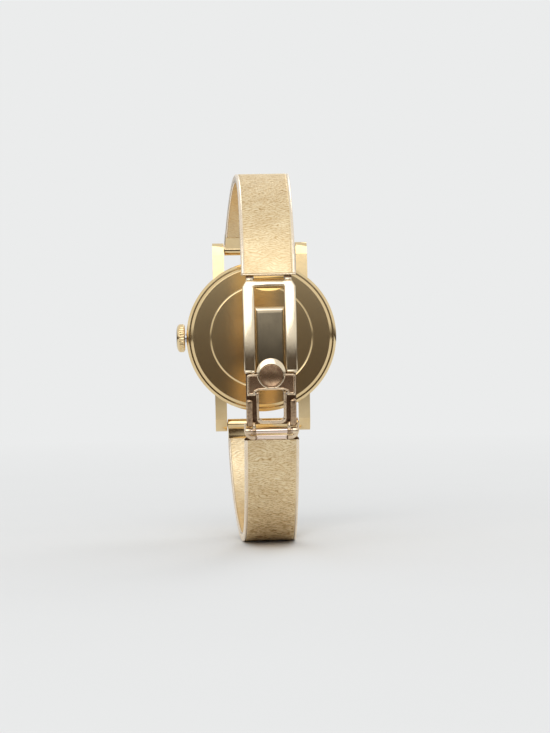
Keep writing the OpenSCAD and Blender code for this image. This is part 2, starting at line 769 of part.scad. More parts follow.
// Spring strip, coiled by a formula from the arbor to the wall
module spiral(r0, r1, turns, t, h) {
  n = turns * 24;
  function ring(i, side) = polar(r0 + (r1 - r0) * i / n + side * t / 2, i * 15);
  linear_extrude(h) polygon(concat([for (i = [0:n]) ring(i, 1)], [for (i = [n:-1:0]) ring(i, -1)]));
}

module mainspring() {
  color("slategray") head() at(barrel_at, barrel_z + 0.3)
    spiral(1.3, barrel_r - 0.3, 6, 0.12, barrel_h - 0.6);
}

module barrel_arbor() {
  color("silver") head() at(barrel_at) {
    translate([0, 0, ratchet_z]) cylinder(r = 0.5, h = barrel_z + barrel_h + 0.6 - ratchet_z);
    translate([0, 0, barrel_z + 0.25]) cylinder(r = 1.1, h = barrel_h - 0.5);
  }
}

module center_wheel() {
  color("gold") head() {
    train_wheel(center_teeth, center_m, center_wheel_z, third_dir);
    translate([0, 0, bridge_z + 0.1]) cylinder(r = pivot_r, h = 1);
    translate([0, 0, train_z + 0.05]) cylinder(r = 0.28, h = motion_z + 1.1 - train_z);
    gear(center_leaves, barrel_m, barrel_gear_z - 0.05, 0.5, meshed(barrel_dir + 180, center_leaves));
  }
}

module third_wheel() {
  color("gold") head() at(third_at) {
    train_wheel(third_teeth, third_m, third_wheel_z, fourth_dir);
    gear(third_leaves, center_m, center_wheel_z - 0.04, wheel_t + 0.1, meshed(third_dir, third_leaves));
    arbor(train_z - pivot_seat, plate_z + pivot_seat);
  }
}

module fourth_wheel() {
  color("gold") head() at(fourth_at) {
    train_wheel(fourth_teeth, fourth_m, fourth_wheel_z, escape_dir);
    gear(fourth_leaves, third_m, third_wheel_z - 0.05, wheel_t + 0.1, meshed(fourth_dir, fourth_leaves));
    arbor(train_z - pivot_seat, plate_z + pivot_seat, 0.2);
  }
}

module escape_wheel() {
  step = 360 / escape_teeth;
  color("silver") head() at(escape_at) {
    translate([0, 0, escape_wheel_z]) linear_extrude(wheel_t)
      polygon([for (i = [0:escape_teeth - 1], k = [0:2])
        polar([1.25, 1.85, 1.8][k], step * (i + [0, 0.42, 0.56][k]))]);
    gear(escape_leaves, fourth_m, fourth_wheel_z - 0.05, wheel_t + 0.1, meshed(escape_dir, escape_leaves));
    arbor(train_z - pivot_seat, plate_z + pivot_seat, 0.2);
  }
}

// Fork with its two stones on the escape wheel's side and its slot on the balance's side
module pallet_fork() {
  color("silver") head() at(pallet_at) rotate([0, 0, balance_dir]) {
    translate([0, 0, escape_wheel_z]) linear_extrude(wheel_t) {
      circle(r = 0.4);
      translate([0, -0.12]) square([2.5, 0.24]);
      for (s = [-1, 1]) translate([2.5, s > 0 ? 0.16 : -0.36]) square([0.6, 0.2]);
      translate([2.4, -0.36]) square([0.2, 0.72]);
      for (s = [-1, 1]) rotate([0, 0, 180 - (balance_dir - pallet_dir) + s * 43])
        translate([0, -0.12]) square([1.86, 0.24]);
    }
    translate([0, 0, third_wheel_z + 0.02]) cylinder(r = pivot_r, h = plate_z + pivot_seat - third_wheel_z);
  }
}

module balance_wheel() {
  color("khaki") head() at(balance_at) {
    disc(balance_r, balance_z, balance_z + balance_h, balance_r - 0.5);
    translate([0.4 - balance_r, -0.25, balance_z + 0.05]) cube([2 * balance_r - 0.8, 0.5, 0.15]);
    translate([0, 0, train_z + 0.08]) cylinder(r = 0.35, h = 0.12);
    translate([0, 0, balance_z]) cylinder(r = 0.5, h = balance_h);
    translate([0, 0, escape_wheel_z - 0.25]) cylinder(r = 0.55, h = 0.15);
    translate([-0.42, 0, escape_wheel_z - 0.15]) cylinder(r = 0.08, h = 0.3);
    arbor(train_z - pivot_seat, plate_z + pivot_seat);
  }
}

module hairspring() {
  color("steelblue") head() at(balance_at, train_z + 0.08) spiral(0.38, 1.9, 5, 0.06, 0.12);
}

// Movement: winding and motion work

module ratchet_wheel() {
  color("silver") head() at(barrel_at) difference() {
    gear(ratchet_teeth, winding_m, ratchet_z, winding_t, crown_wheel_dir);
    translate([0, 0, ratchet_z - 1]) cylinder(r = 0.5, h = 2);
  }
}

module crown_wheel() {
  r = crown_wheel_r;
  step = 360 / crown_teeth;
  color("silver") head() at(crown_wheel_at) difference() {
    union() {
      gear(crown_teeth, winding_m, ratchet_z, winding_t, meshed(crown_wheel_dir, crown_teeth));
      translate([0, 0, ratchet_z]) cylinder(r = r - 0.1, h = train_z - 0.2 - ratchet_z);
      for (i = [0:crown_teeth - 1]) rotate([0, 0, (i + 0.5) * step])
        translate([r - 0.6, -0.13, train_z - 0.25]) cube([0.45, 0.26, 0.2]);
    }
    translate([0, 0, -1]) cylinder(r = crown_screw_r + pin_play, h = 5);
    translate([0, 0, bridge_z + 0.25]) cylinder(r = r - 0.65, h = 5);
  }
}

module crown_wheel_screw() {
  color("steelblue") head() at(crown_wheel_at) {
    translate([0, 0, ratchet_z - 0.1]) cylinder(r = 1.1, h = 0.1);
    translate([0, 0, ratchet_z - 0.1]) cylinder(r = crown_screw_r, h = plate_z + 0.7 - ratchet_z);
  }
}

module click() {
  color("silver") head() at(click_at) rotate([0, 0, click_dir - 180]) {
    translate([0, 0, ratchet_z]) linear_extrude(winding_t) {
      circle(r = 0.6);
      polygon([[-0.5, 0.3], [0.5, 0.3], [1.13, 1.6], [0.6, 1.75]]);
    }
    translate([0, 0, ratchet_z]) cylinder(r = 0.25, h = winding_t + 0.35);
  }
}

module winding_pinion() {
  color("silver") head() translate([pinion_x, 0, stem_z]) rotate([0, 90, 0]) difference() {
    gear(winding_teeth, stem_pinion_m, 0, 0.8, 0);
    translate([0, 0, -1]) cylinder(r = stem_r + pin_play, h = 4);
  }
}

module cannon_pinion() {
  color("silver") head() difference() {
    union() {
      gear(cannon_leaves, motion_m, motion_z + 0.05, 0.2, minute_dir);
      translate([0, 0, motion_z + 0.05]) cylinder(r = 0.5, h = minute_hand_z + hand_t - motion_z - 0.05);
    }
    translate([0, 0, motion_z - 1]) cylinder(r = 0.28, h = 2.15);
  }
}

module hour_wheel() {
  color("gold") head() difference() {
    union() {
      gear(hour_teeth, motion_m, motion_z + 0.35, 0.15, minute_dir);
      translate([0, 0, motion_z + 0.3]) cylinder(r = 0.85, h = hour_hand_z + hand_t - motion_z - 0.3);
    }
    translate([0, 0, motion_z]) cylinder(r = 0.5 + pin_play, h = 4);
  }
}

module minute_wheel() {
  color("gold") head() at(minute_at) difference() {
    union() {
      gear(minute_teeth, motion_m, motion_z + 0.07, 0.15, meshed(minute_dir, minute_teeth));
      gear(minute_leaves, motion_m, motion_z + 0.22, 0.28, meshed(minute_dir, minute_leaves));
    }
    translate([0, 0, motion_z - 1]) cylinder(r = 0.15, h = 3);
  }
}

// Bracelet, drawn for the upper half and mirrored for the lower one

module end_link_half(end) {
  r = shoulder_r(end);
  difference() {
    union() {
      intersection() {
        sector(loop_shift, shoulder_cz(end), r - band_t, r, bar_deg(end), link_end_deg(end), past_band);
        band_plan();
      }
      cross_pin(bar_y, bar_height(end), band_t / 2 + 0.25, -band_w_lug / 2, band_w_lug / 2);
    }
    cross_pin(bar_y, bar_height(end), bar_r + pin_play, -band_w_lug, band_w_lug);
  }
}

module mesh_at_case_half(end) {
  woven(loop_shift, shoulder_cz(end), shoulder_r(end), link_end_deg(end), 90);
}

module mesh_at_clasp_half(end_z) {
  above(end_z) woven(loop_shift, side_cz, side_r, 90, side_angle(end_z) + 3);
}

module upper_end_link() {
  color("gold") end_link_half(1);
}

module lower_end_link() {
  color("gold") mirror([0, 0, 1]) end_link_half(-1);
}

module upper_mesh_at_case() {
  color("darkkhaki") mesh_at_case_half(1);
}

module lower_mesh_at_case() {
  color("darkkhaki") mirror([0, 0, 1]) mesh_at_case_half(-1);
}

module upper_mesh_at_clasp() {
  color("darkkhaki") mesh_at_clasp_half(mesh_end_upper);
}

module lower_mesh_at_clasp() {
  color("darkkhaki") mirror([0, 0, 1]) mesh_at_clasp_half(mesh_end_lower);
}

// Smooth end of the band with the middle knuckle of the hinge
module upper_end_cap() {
  color("gold") difference() {
    union() {
      difference() {
        above(cap_z) intersection() {
          sector(loop_shift, side_cz, side_r - band_t, side_r,
            side_angle(mesh_end_upper) - 3, side_angle(cap_z) + 3, past_band);
          band_plan();
        }
        above(mesh_end_upper) cube(4 * loop_top, center = true);
      }
      cross_pin(hinge_y, hinge_z, knuckle_r, -knuckle_w, knuckle_w);
      along_x(-knuckle_w, knuckle_w) polygon([[hinge_y - 0.2, hinge_z], [hinge_y + knuckle_r, hinge_z],
        [clasp_end_y + 1.1, cap_z + 0.1], [clasp_end_y + 0.2, cap_z + 0.1]]);
    }
    cross_pin(hinge_y, hinge_z, hinge_pin_r + pin_play, -band_w_lug, band_w_lug);
  }
}

module hinge_pin() {
  half = frame_half - frame_chamfer;
  color("silver") cross_pin(hinge_y, hinge_z, hinge_pin_r, -half, half);
}

// Frame of the clasp: two rails and the bridge above them, open at the bottom
module clasp_frame() {
  corner = frame_half - frame_chamfer;
  knuckle_in = knuckle_w + side_play;
  color("gold") difference() {
    union() {
      clasp_plate(clasp_r - frame_t, clasp_r) difference() {
        polygon([[-frame_half, -rail_end], [-frame_half, frame_top - 1], [-corner, frame_top],
          [corner, frame_top], [frame_half, frame_top - 1], [frame_half, -rail_end]]);
        translate([-gap_half, -rail_end - 1])
          square([2 * gap_half, rail_end + 1 + frame_top - frame_bridge_h]);
      }
      both_sides() {
        cross_pin(hinge_y, hinge_z, knuckle_r, knuckle_in, corner);
        along_x(knuckle_in, corner) polygon([[hinge_y - knuckle_r, hinge_z],
          [hinge_y + knuckle_r, hinge_z], [hinge_y + knuckle_r, frame_top - 0.2],
          [hinge_y - knuckle_r, frame_top - 0.2]]);
      }
    }
    cross_pin(hinge_y, hinge_z, hinge_pin_r, -band_w_lug, band_w_lug);
  }
}

// Curved plate that lies between the rails, with rounded upper corners
module tongue_plate() {
  half = gap_half - tongue_play;
  corner_r = 0.4;
  foot = window_top - 0.5;
  color("darkkhaki") clasp_plate(base_r, tongue_r) difference() {
    translate([-half, -foot]) square([2 * half, tongue_top + foot]);
    both_sides() translate([half - corner_r, tongue_top - corner_r]) difference() {
      square([1, 1]);
      circle(r = corner_r);
    }
  }
}

// Lower frame of the clasp: a thin base, the raised rim of its window and two side rails
module lower_frame() {
  rim_top = window_top - 0.42;
  color("gold") difference() {
    union() {
      clasp_plate(base_r - base_t, base_r) difference() {
        union() {
          strips(0, rail_out, -rim_bottom, -rail_end - side_play);
          strips(0, latch_r - side_play, -rail_end - 1, 0);
        }
        strips(0, window_half, -window_bottom, -window_top);
      }
      clasp_plate(base_r, clasp_r) difference() {
        strips(0, rim_out, -rim_bottom, -rim_top);
        strips(0, window_half, -window_bottom, -window_top);
      }
      clasp_plate(base_r - base_t, clasp_r)
        strips(rail_out - side_rail_w, rail_out, -side_rail_bottom, -side_rail_top);
      both_sides() {
        cross_pin(clasp_pin_y, -clasp_pin_z, clasp_pin_r + pin_wall, ear_in, ear_out);
        along_x(ear_in, ear_out) polygon([[clasp_pin_y - 0.5, -clasp_pin_z],
          [clasp_pin_y + 0.6, -clasp_pin_z], [clasp_pin_y + 0.6, 0.3 - rim_bottom],
          [clasp_pin_y - 0.5, 0.3 - rim_bottom]]);
      }
    }
    cross_pin(clasp_pin_y, -clasp_pin_z, clasp_pin_r + pin_play, -band_w_lug, band_w_lug);
    cross_pin(latch_pin_y, -latch_pin_z, latch_pin_r, -band_w_lug, band_w_lug);
  }
}

// Latch: a round head over the tongue and two wings that hinge on the rim of the window
module latch() {
  wing_rim = 0.4;
  sunk_r = latch_top_r - latch_sink;
  color("gold") difference() {
    union() {
      clasp_plate(latch_base_r, latch_top_r) {
        translate([0, -head_z]) circle(r = latch_r);
        strips(0, latch_half, 0.52 - window_top, -wing_top);
        strips(rim_out + side_play, latch_half, -wing_bottom, -wing_top);
      }
      both_sides() cross_pin(latch_pin_y, -latch_pin_z, latch_pin_r + 0.22, rim_out + side_play, latch_half);
    }
    clasp_plate(sunk_r, latch_top_r + 1) {
      translate([0, -disc_z]) circle(r = disc_r);
      strips(latch_r + 0.35, latch_half - wing_rim, wing_rim - wing_bottom, -wing_top - wing_rim);
    }
    cross_pin(latch_pin_y, -latch_pin_z, latch_pin_r + pin_play, -band_w_lug, band_w_lug);
  }
}

// Plain disc in the sunk round face of the latch's head
module latch_disc() {
  sunk_r = latch_top_r - latch_sink;
  color("gold") clasp_plate(sunk_r, latch_top_r - clasp_play) translate([0, -disc_z])
    circle(r = disc_r - clasp_play);
}

module latch_pins() {
  color("silver") both_sides()
    cross_pin(latch_pin_y, -latch_pin_z, latch_pin_r, window_half + seat_play, latch_half - 0.15);
}

module clasp_pin() {
  color("silver") cross_pin(clasp_pin_y, -clasp_pin_z, clasp_pin_r, -clasp_pin_half, clasp_pin_half);
}

// Solid end of the lower band, with ears that hold the clasp's pin
module stirrup() {
  inner = ear_out + side_play;
  outer = band_w_clasp / 2;
  bar_in = clasp_r - band_t;
  cheek_in = clasp_r - 1.2;
  face = clasp_r - seat_play;
  color("gold") mirror([0, 0, 1]) difference() {
    union() {
      clasp_plate(bar_in, face) strips(0, outer, stirrup_bar_z, mesh_end_lower);
      clasp_plate(cheek_in, face) strips(inner, outer, clasp_pin_z, stirrup_bar_z + 0.1);
      clasp_plate(cheek_in, face) strips(rail_out + clasp_play, outer, clasp_pin_z - 1.3, clasp_pin_z + 0.1);
      both_sides() cross_pin(clasp_pin_y, clasp_pin_z, clasp_pin_r + pin_wall, inner, outer);
    }
    cross_pin(clasp_pin_y, clasp_pin_z, clasp_pin_r, -clasp_pin_half, clasp_pin_half);
  }
}

case_middle();
bezel();
crystal();
crystal_gasket();
case_back();
back_gasket();
crown_tube();
movement_ring();
dial();
hour_markers();
hour_hand();
minute_hand();
main_plate();
barrel();
mainspring();
barrel_arbor();
barrel_bridge();
train_bridge();
balance_cock();
pallet_cock();
center_wheel();
third_wheel();
fourth_wheel();
escape_wheel();
pallet_fork();
balance_wheel();
hairspring();
ratchet_wheel();
crown_wheel();
crown_wheel_screw();
click();
winding_stem();
winding_pinion();
crown();
cannon_pinion();
hour_wheel();
minute_wheel();
jewels();
bridge_screws();
spring_bars();
upper_end_link();
upper_mesh_at_case();
upper_mesh_at_clasp();
upper_end_cap();
lower_end_link();
lower_mesh_at_case();
lower_mesh_at_clasp();
stirrup();
hinge_pin();
clasp_frame();
tongue_plate();
lower_frame();
latch();
latch_disc();
latch_pins();
clasp_pin();
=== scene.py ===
"""Looks of a gold dress watch on a woven bracelet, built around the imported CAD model.

Lengths are millimetres in the CAD frame, and MM turns them into Blender's metres where a mesh is made.
"""
import json
import math

import bmesh
import bpy
import numpy as np
from mathutils import Matrix, Vector

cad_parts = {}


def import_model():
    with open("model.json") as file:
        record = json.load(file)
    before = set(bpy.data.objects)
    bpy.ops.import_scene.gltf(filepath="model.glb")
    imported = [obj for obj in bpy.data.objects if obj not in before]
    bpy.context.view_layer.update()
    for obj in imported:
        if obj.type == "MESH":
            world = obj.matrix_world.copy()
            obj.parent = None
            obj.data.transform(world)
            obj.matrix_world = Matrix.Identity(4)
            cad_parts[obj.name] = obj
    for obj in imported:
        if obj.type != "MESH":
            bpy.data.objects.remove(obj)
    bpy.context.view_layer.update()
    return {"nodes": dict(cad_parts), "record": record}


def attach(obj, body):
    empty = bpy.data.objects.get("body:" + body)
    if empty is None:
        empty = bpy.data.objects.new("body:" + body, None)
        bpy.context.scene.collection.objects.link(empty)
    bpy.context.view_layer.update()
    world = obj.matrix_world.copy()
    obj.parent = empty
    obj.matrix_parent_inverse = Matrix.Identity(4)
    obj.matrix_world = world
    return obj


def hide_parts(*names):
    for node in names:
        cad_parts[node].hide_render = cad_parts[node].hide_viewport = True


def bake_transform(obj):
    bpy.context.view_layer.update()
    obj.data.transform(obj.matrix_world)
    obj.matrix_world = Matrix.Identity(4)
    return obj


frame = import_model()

nodes = frame["nodes"]

# Sizes shared with the CAD source

CLASP_R = 40.0
BAND_T = 1.6
BAND_HALF = 4.6
BAND_SPREAD = 2.15
LOOP_SHIFT = 3.5
HEAD_RISE = 4.1
BAR_OUT = 19.92
BARREL_M, BARREL_TEETH, CENTER_LEAVES = 0.194, 56, 8
PLATE_R = BARREL_M * ((BARREL_TEETH + CENTER_LEAVES) / 2 + BARREL_TEETH / 2 + 0.75) + 0.815
BORE_R = PLATE_R + 0.3
CASE_R = BORE_R + 1.5
BAR_Z = CASE_R + 2.42
BAR_Y = LOOP_SHIFT + BAR_OUT
HEAD_Y = BAR_Y - 3.2
LOOP_TOP = CASE_R + 19
SIN20, COS20 = math.sin(math.radians(20)), math.cos(math.radians(20))
SIDE_R = (LOOP_TOP - CLASP_R * SIN20) / (1 - SIN20)
SIDE_CZ = LOOP_TOP - SIDE_R
CLASP_CY = LOOP_SHIFT + (CLASP_R - SIDE_R) * COS20
CLASP_END_Y = CLASP_CY - CLASP_R * COS20


def clasp_y(z, r):
    """Depth of a height on the clasp's curve, at a radius from the clasp's centre."""
    return CLASP_CY - np.sqrt(r * r - z * z)


# Pins of the clasp, and the ends of the band's halves

HINGE_Z = CLASP_R * SIN20 - 0.48
HINGE_Y = clasp_y(HINGE_Z, 39.5)
KNUCKLE_R = 0.36
CAP_Z = HINGE_Z + 0.46
MESH_END = {1: HINGE_Z + 0.71, -1: 14.05}
PIN_Z = 12.5
PIN_Y = clasp_y(PIN_Z, 39.5)
LATCH_PIN_Z = 6.2
LATCH_PIN_Y = clasp_y(LATCH_PIN_Z, 39.6)

# Outlines and levels of the clasp's plates

FRAME_TOP = HINGE_Z - 0.51
FRAME_HALF = 4.45
FRAME_T = 1.3
RAIL_IN = 2.55
RAIL_END = -2.5
BASE_R, BASE_IN_R = 38.9, 38.3
LATCH_R, SUNK_R, LATCH_TOP_R = 39.65, 40.1, 40.35
HEAD_Z, HEAD_R = -2.75, 2.42
DISC_Z, DISC_R = -3.3, 1.94

# Sizes of the watch head; its heights are from its back

STEM_H = 3.2
DIAL_TOP = STEM_H + 1.95
HAND_T = 0.15
HOUR_HAND_H = DIAL_TOP + 0.35
CRYSTAL_H = DIAL_TOP + 1.1
CRYSTAL_T = 0.6
CRYSTAL_R = BORE_R + 0.2
BEZEL_HOLE_R = CRYSTAL_R - 0.6

MM = 0.001

# Radius at which a turned shape closes
POINT = 0.001


# Colours and node materials


def linear(*colour):
    """Linear colour of a 0 to 255 one, with full alpha."""
    shares = [v / 255 for v in colour]
    return (*(v / 12.92 if v <= 0.04045 else ((v + 0.055) / 1.055) ** 2.4 for v in shares), 1.0)


class Finish:
    """A Principled material, with helpers for its procedural inputs."""

    def __init__(self, name, metallic, **values):
        self.material = bpy.data.materials.new(name)
        self.material.use_nodes = True
        self.tree = self.material.node_tree
        self.shader = self.tree.nodes["Principled BSDF"]
        self.shader.inputs["Metallic"].default_value = metallic
        for key, value in values.items():
            self.shader.inputs[key.replace("_", " ")].default_value = value
        self.place = self.node("ShaderNodeTexCoord").outputs["Object"]

    def node(self, kind, **settings):
        made = self.tree.nodes.new(kind)
        for key, value in settings.items():
            setattr(made, key, value)
        return made

    def link(self, a, b):
        self.tree.links.new(a, b)

    def scaled(self, x, y, z, source=None):
        """Place in millimetres, stretched along each axis."""
        mapping = self.node("ShaderNodeMapping")
        unit = 1 if source else 1 / MM
        mapping.inputs["Scale"].default_value = (x * unit, y * unit, z * unit)
        self.link(source or self.place, mapping.inputs["Vector"])
        return mapping.outputs["Vector"]

    def attribute(self, name):
        return self.node("ShaderNodeAttribute", attribute_name=name)

    def noise(self, place, scale, detail=3.0, roughness=0.55):
        made = self.node("ShaderNodeTexNoise")
        made.inputs["Scale"].default_value = scale
        made.inputs["Detail"].default_value = detail
        made.inputs["Roughness"].default_value = roughness
        self.link(place, made.inputs["Vector"])
        return made.outputs["Fac"]

    def ramp(self, value, stops):
        """Colour ramp from (position, 0 to 255 colour) stops."""
        made = self.node("ShaderNodeValToRGB")
        ramp = made.color_ramp
        while len(ramp.elements) < len(stops):
            ramp.elements.new(0.5)
        for element, (position, colour) in zip(ramp.elements, stops):
            element.position = position
            element.color = linear(*colour)
        self.link(value, made.inputs["Fac"])
        return made.outputs["Color"]

    def remap(self, value, low, high, from_low=0.3, from_high=0.7):
        made = self.node("ShaderNodeMapRange")
        ends = {"From Min": from_low, "From Max": from_high, "To Min": low, "To Max": high}
        for key, number in ends.items():
            made.inputs[key].default_value = number
        self.link(value, made.inputs["Value"])
        return made.outputs["Result"]

    def multiply(self, colour, other, amount=1.0):
        made = self.node("ShaderNodeMix", data_type="RGBA", blend_type="MULTIPLY")
        made.inputs["Factor"].default_value = amount
        self.link(colour, made.inputs[6])
        self.link(other, made.inputs[7])
        return made.outputs[2]

    def bump(self, height, distance_mm, strength=1.0, after=None):
        made = self.node("ShaderNodeBump")
        made.inputs["Distance"].default_value = distance_mm * MM
        made.inputs["Strength"].default_value = strength
        self.link(height, made.inputs["Height"])
        if after:
            self.link(after, made.inputs["Normal"])
        return made.outputs["Normal"]

    def from_head_axis(self):
        """Place as seen from the middle of the watch head."""
        centre = self.node("ShaderNodeVectorMath", operation="SUBTRACT")
        centre.inputs[1].default_value = (0, 0, HEAD_RISE * MM)
        self.link(self.place, centre.inputs[0])
        return centre.outputs["Vector"]

    def length(self, vector):
        made = self.node("ShaderNodeVectorMath", operation="LENGTH")
        self.link(vector, made.inputs[0])
        return made.outputs["Value"]

    def mixed(self, share, first, second):
        """Two surfaces mixed, as a surface."""
        made = self.node("ShaderNodeMixShader")
        for value, socket in zip((share, first, second), made.inputs):
            self.link(value, socket)
        return made.outputs["Shader"]

    def show(self, surface):
        self.link(surface, self.tree.nodes["Material Output"].inputs["Surface"])

    def use(self, **outputs):
        for key, output in outputs.items():
            self.link(output, self.shader.inputs[key.replace("_", " ")])
        return self.material


def gold(name, light, dark, low, high, scratch=(6, 6, 0.6)):
    """Polished gold with faint polishing marks and a little uneven tone."""
    f = Finish(name, 1.0)
    cloud = f.noise(f.scaled(0.35, 0.35, 0.35), 1.0, 2.0)
    marks = f.noise(f.scaled(*scratch), 1.6, 4.0, 0.65)
    tone = f.ramp(cloud, [(0.3, dark), (0.7, light)])
    return f.use(Base_Color=tone, Roughness=f.remap(marks, low, high),
                 Normal=f.bump(marks, 0.004, 0.35))


polished_gold = gold("polished_gold", (246, 230, 202), (239, 220, 188), 0.09, 0.2)
edge_gold = gold("edge_gold", (250, 234, 212), (242, 224, 198), 0.2, 0.32)
worn_gold = gold("worn_gold", (246, 226, 196), (206, 180, 150), 0.16, 0.32, (2, 2, 2))
case_gold = gold("case_gold", (240, 216, 170), (232, 205, 156), 0.06, 0.14, (3, 3, 3))
hand_gold = gold("hand_gold", (226, 190, 126), (214, 176, 110), 0.1, 0.18, (8, 8, 8))


def recess_shade_gold():
    """Gold of the clasp's sunk faces, darkened and mottled as painted shade, and rougher than the polished
    gold.
    """
    f = Finish("recess_shade_gold", 1.0)
    patch = f.noise(f.scaled(1.3, 1.3, 1.3), 1.0, 4.0, 0.6)
    grain = f.noise(f.scaled(9, 9, 9), 1.0, 3.0, 0.6)
    tone = f.ramp(patch, [(0.3, (150, 118, 94)), (0.55, (192, 158, 126)),
                          (0.75, (222, 192, 154))])
    return f.use(Base_Color=tone, Roughness=f.remap(patch, 0.34, 0.2), Normal=f.bump(grain, 0.01, 0.5))


recess_shade = recess_shade_gold()


def satin_shade_gold():
    """Lengthwise brushed gold of the tongue plate, its colour darkened to a grey brown as painted shade."""
    f = Finish("satin_shade_gold", 1.0)
    lines = f.noise(f.scaled(14, 2, 0.5), 1.0, 5.0, 0.7)
    cloud = f.noise(f.scaled(0.5, 0.5, 0.3), 1.0, 3.0)
    tone = f.ramp(cloud, [(0.3, (134, 122, 102)), (0.7, (152, 139, 116))])
    return f.use(Base_Color=tone, Roughness=f.remap(lines, 0.13, 0.22), Normal=f.bump(lines, 0.004, 0.35))


tongue_shade_gold = satin_shade_gold()


def woven():
    """Woven gold wire: crests painted bright and pits painted brown from the height attribute, as painted
    shade, and a fine bark grain along each strand.
    """
    f = Finish("woven_gold", 1.0)
    height = f.attribute("relief").outputs["Fac"]
    flat = f.attribute("flat").outputs["Vector"]
    grain = f.noise(f.scaled(5, 11, 5, flat), 1.0, 3.0, 0.6)
    cloud = f.noise(f.scaled(0.22, 0.22, 0.22, flat), 1.0, 3.0, 0.6)
    # Painted shade: the colour darkens from crest to pit with the height
    tone = f.ramp(height, [(0.0, (172, 136, 84)), (0.3, (230, 204, 158)),
                           (0.62, (249, 231, 193)), (1.0, (253, 240, 212))])
    patch = f.ramp(cloud, [(0.3, (238, 232, 224)), (0.7, (255, 255, 255))])
    return f.use(Base_Color=f.multiply(tone, patch), Roughness=f.remap(height, 0.55, 0.42, 0.0, 1.0),
                 Normal=f.bump(grain, 0.02, 0.4))


woven_gold = woven()


def metal(name, light, dark, low, high, grain=(5, 5, 5), metallic=1.0):
    f = Finish(name, metallic)
    marks = f.noise(f.scaled(*grain), 1.4, 4.0, 0.6)
    return f.use(Base_Color=f.ramp(marks, [(0.3, dark), (0.7, light)]), Roughness=f.remap(marks, low, high),
                 Normal=f.bump(marks, 0.004, 0.3))


# Dark brown gold as painted shade, for the lower frame's channel floor, the frame's hinge knuckles and the
# stirrup's bar
channel_shade_gold = metal("channel_shade_gold", (118, 92, 70), (82, 60, 44), 0.3, 0.42, (2, 2, 2))
# Darkened gold as painted shade, for the lower frame's side rails and knuckles low on the clasp
lower_shade_gold = metal("lower_shade_gold", (206, 178, 144), (140, 114, 92), 0.14, 0.28, (1.6, 1.6, 1.6))
rose_pin = metal("rose_pin", (244, 226, 212), (234, 212, 196), 0.08, 0.16, (1, 8, 8))
steel = metal("polished_steel", (206, 206, 208), (188, 188, 192), 0.12, 0.24)
blued = metal("blued_steel", (58, 78, 140), (38, 52, 104), 0.15, 0.3)
plate_metal = metal("movement_plate", (202, 202, 198), (178, 178, 172), 0.22, 0.4, (2, 2, 14))
wheel_brass = metal("wheel_brass", (222, 190, 120), (204, 168, 96), 0.2, 0.35)
gasket = metal("gasket_rubber", (40, 40, 42), (28, 28, 30), 0.55, 0.75, (4, 4, 4), 0.0)
ruby = metal("ruby", (176, 24, 60), (140, 10, 40), 0.05, 0.12, (2, 2, 2), 0.0)
ink = metal("dial_ink", (44, 38, 34), (28, 24, 22), 0.45, 0.6, (6, 6, 6), 0.0)


def sunburst_dial():
    """Silvered cream dial, brushed outwards from its centre."""
    f = Finish("dial", 0.75)
    parts = f.node("ShaderNodeSeparateXYZ")
    f.link(f.from_head_axis(), parts.inputs["Vector"])
    angle = f.node("ShaderNodeMath", operation="ARCTAN2")
    f.link(parts.outputs["X"], angle.inputs[0])
    f.link(parts.outputs["Z"], angle.inputs[1])
    joined = f.node("ShaderNodeCombineXYZ")
    f.link(angle.outputs["Value"], joined.inputs["X"])
    rays = f.noise(f.scaled(38, 1, 1, joined.outputs["Vector"]), 1.0, 5.0, 0.7)
    tone = f.ramp(rays, [(0.3, (226, 216, 192)), (0.7, (243, 236, 217))])
    return f.use(Base_Color=tone, Roughness=f.remap(rays, 0.28, 0.44), Normal=f.bump(rays, 0.01, 0.4))


dial_face = sunburst_dial()


def turned_gold():
    """Case back, cut with fine rings round its middle."""
    f = Finish("turned_gold", 1.0)
    flat = f.node("ShaderNodeVectorMath", operation="MULTIPLY")
    flat.inputs[1].default_value = (1 / MM, 0, 1 / MM)
    f.link(f.from_head_axis(), flat.inputs[0])
    spread = f.node("ShaderNodeCombineXYZ")
    f.link(f.length(flat.outputs["Vector"]), spread.inputs["X"])
    rings = f.noise(f.scaled(7, 1, 1, spread.outputs["Vector"]), 1.0, 4.0, 0.7)
    tone = f.ramp(rings, [(0.3, (228, 200, 150)), (0.7, (240, 215, 168))])
    return f.use(Base_Color=tone, Roughness=f.remap(rings, 0.1, 0.18), Normal=f.bump(rings, 0.006, 0.4))


back_gold = turned_gold()


def clear_crystal():
    f = Finish("crystal", 0.0, Roughness=0.0, IOR=1.5)
    f.shader.inputs["Transmission Weight"].default_value = 1.0
    smear = f.noise(f.scaled(0.4, 0.4, 0.4), 1.0, 2.0)
    return f.use(Base_Color=f.ramp(smear, [(0.3, (250, 252, 252)), (0.7, (255, 255, 255))]))


crystal_glass = clear_crystal()


# Mesh building


def placed(name, data):
    """New object in the scene."""
    obj = bpy.data.objects.new(name, data)
    bpy.context.scene.collection.objects.link(obj)
    return obj


def to_mesh(name, verts, faces):
    mesh = bpy.data.meshes.new(name)
    mesh.from_pydata((np.asarray(verts, float) * MM).tolist(), [], faces)
    bm = bmesh.new()
    bm.from_mesh(mesh)
    bmesh.ops.recalc_face_normals(bm, faces=bm.faces)
    bm.to_mesh(mesh)
    bm.free()
    return mesh


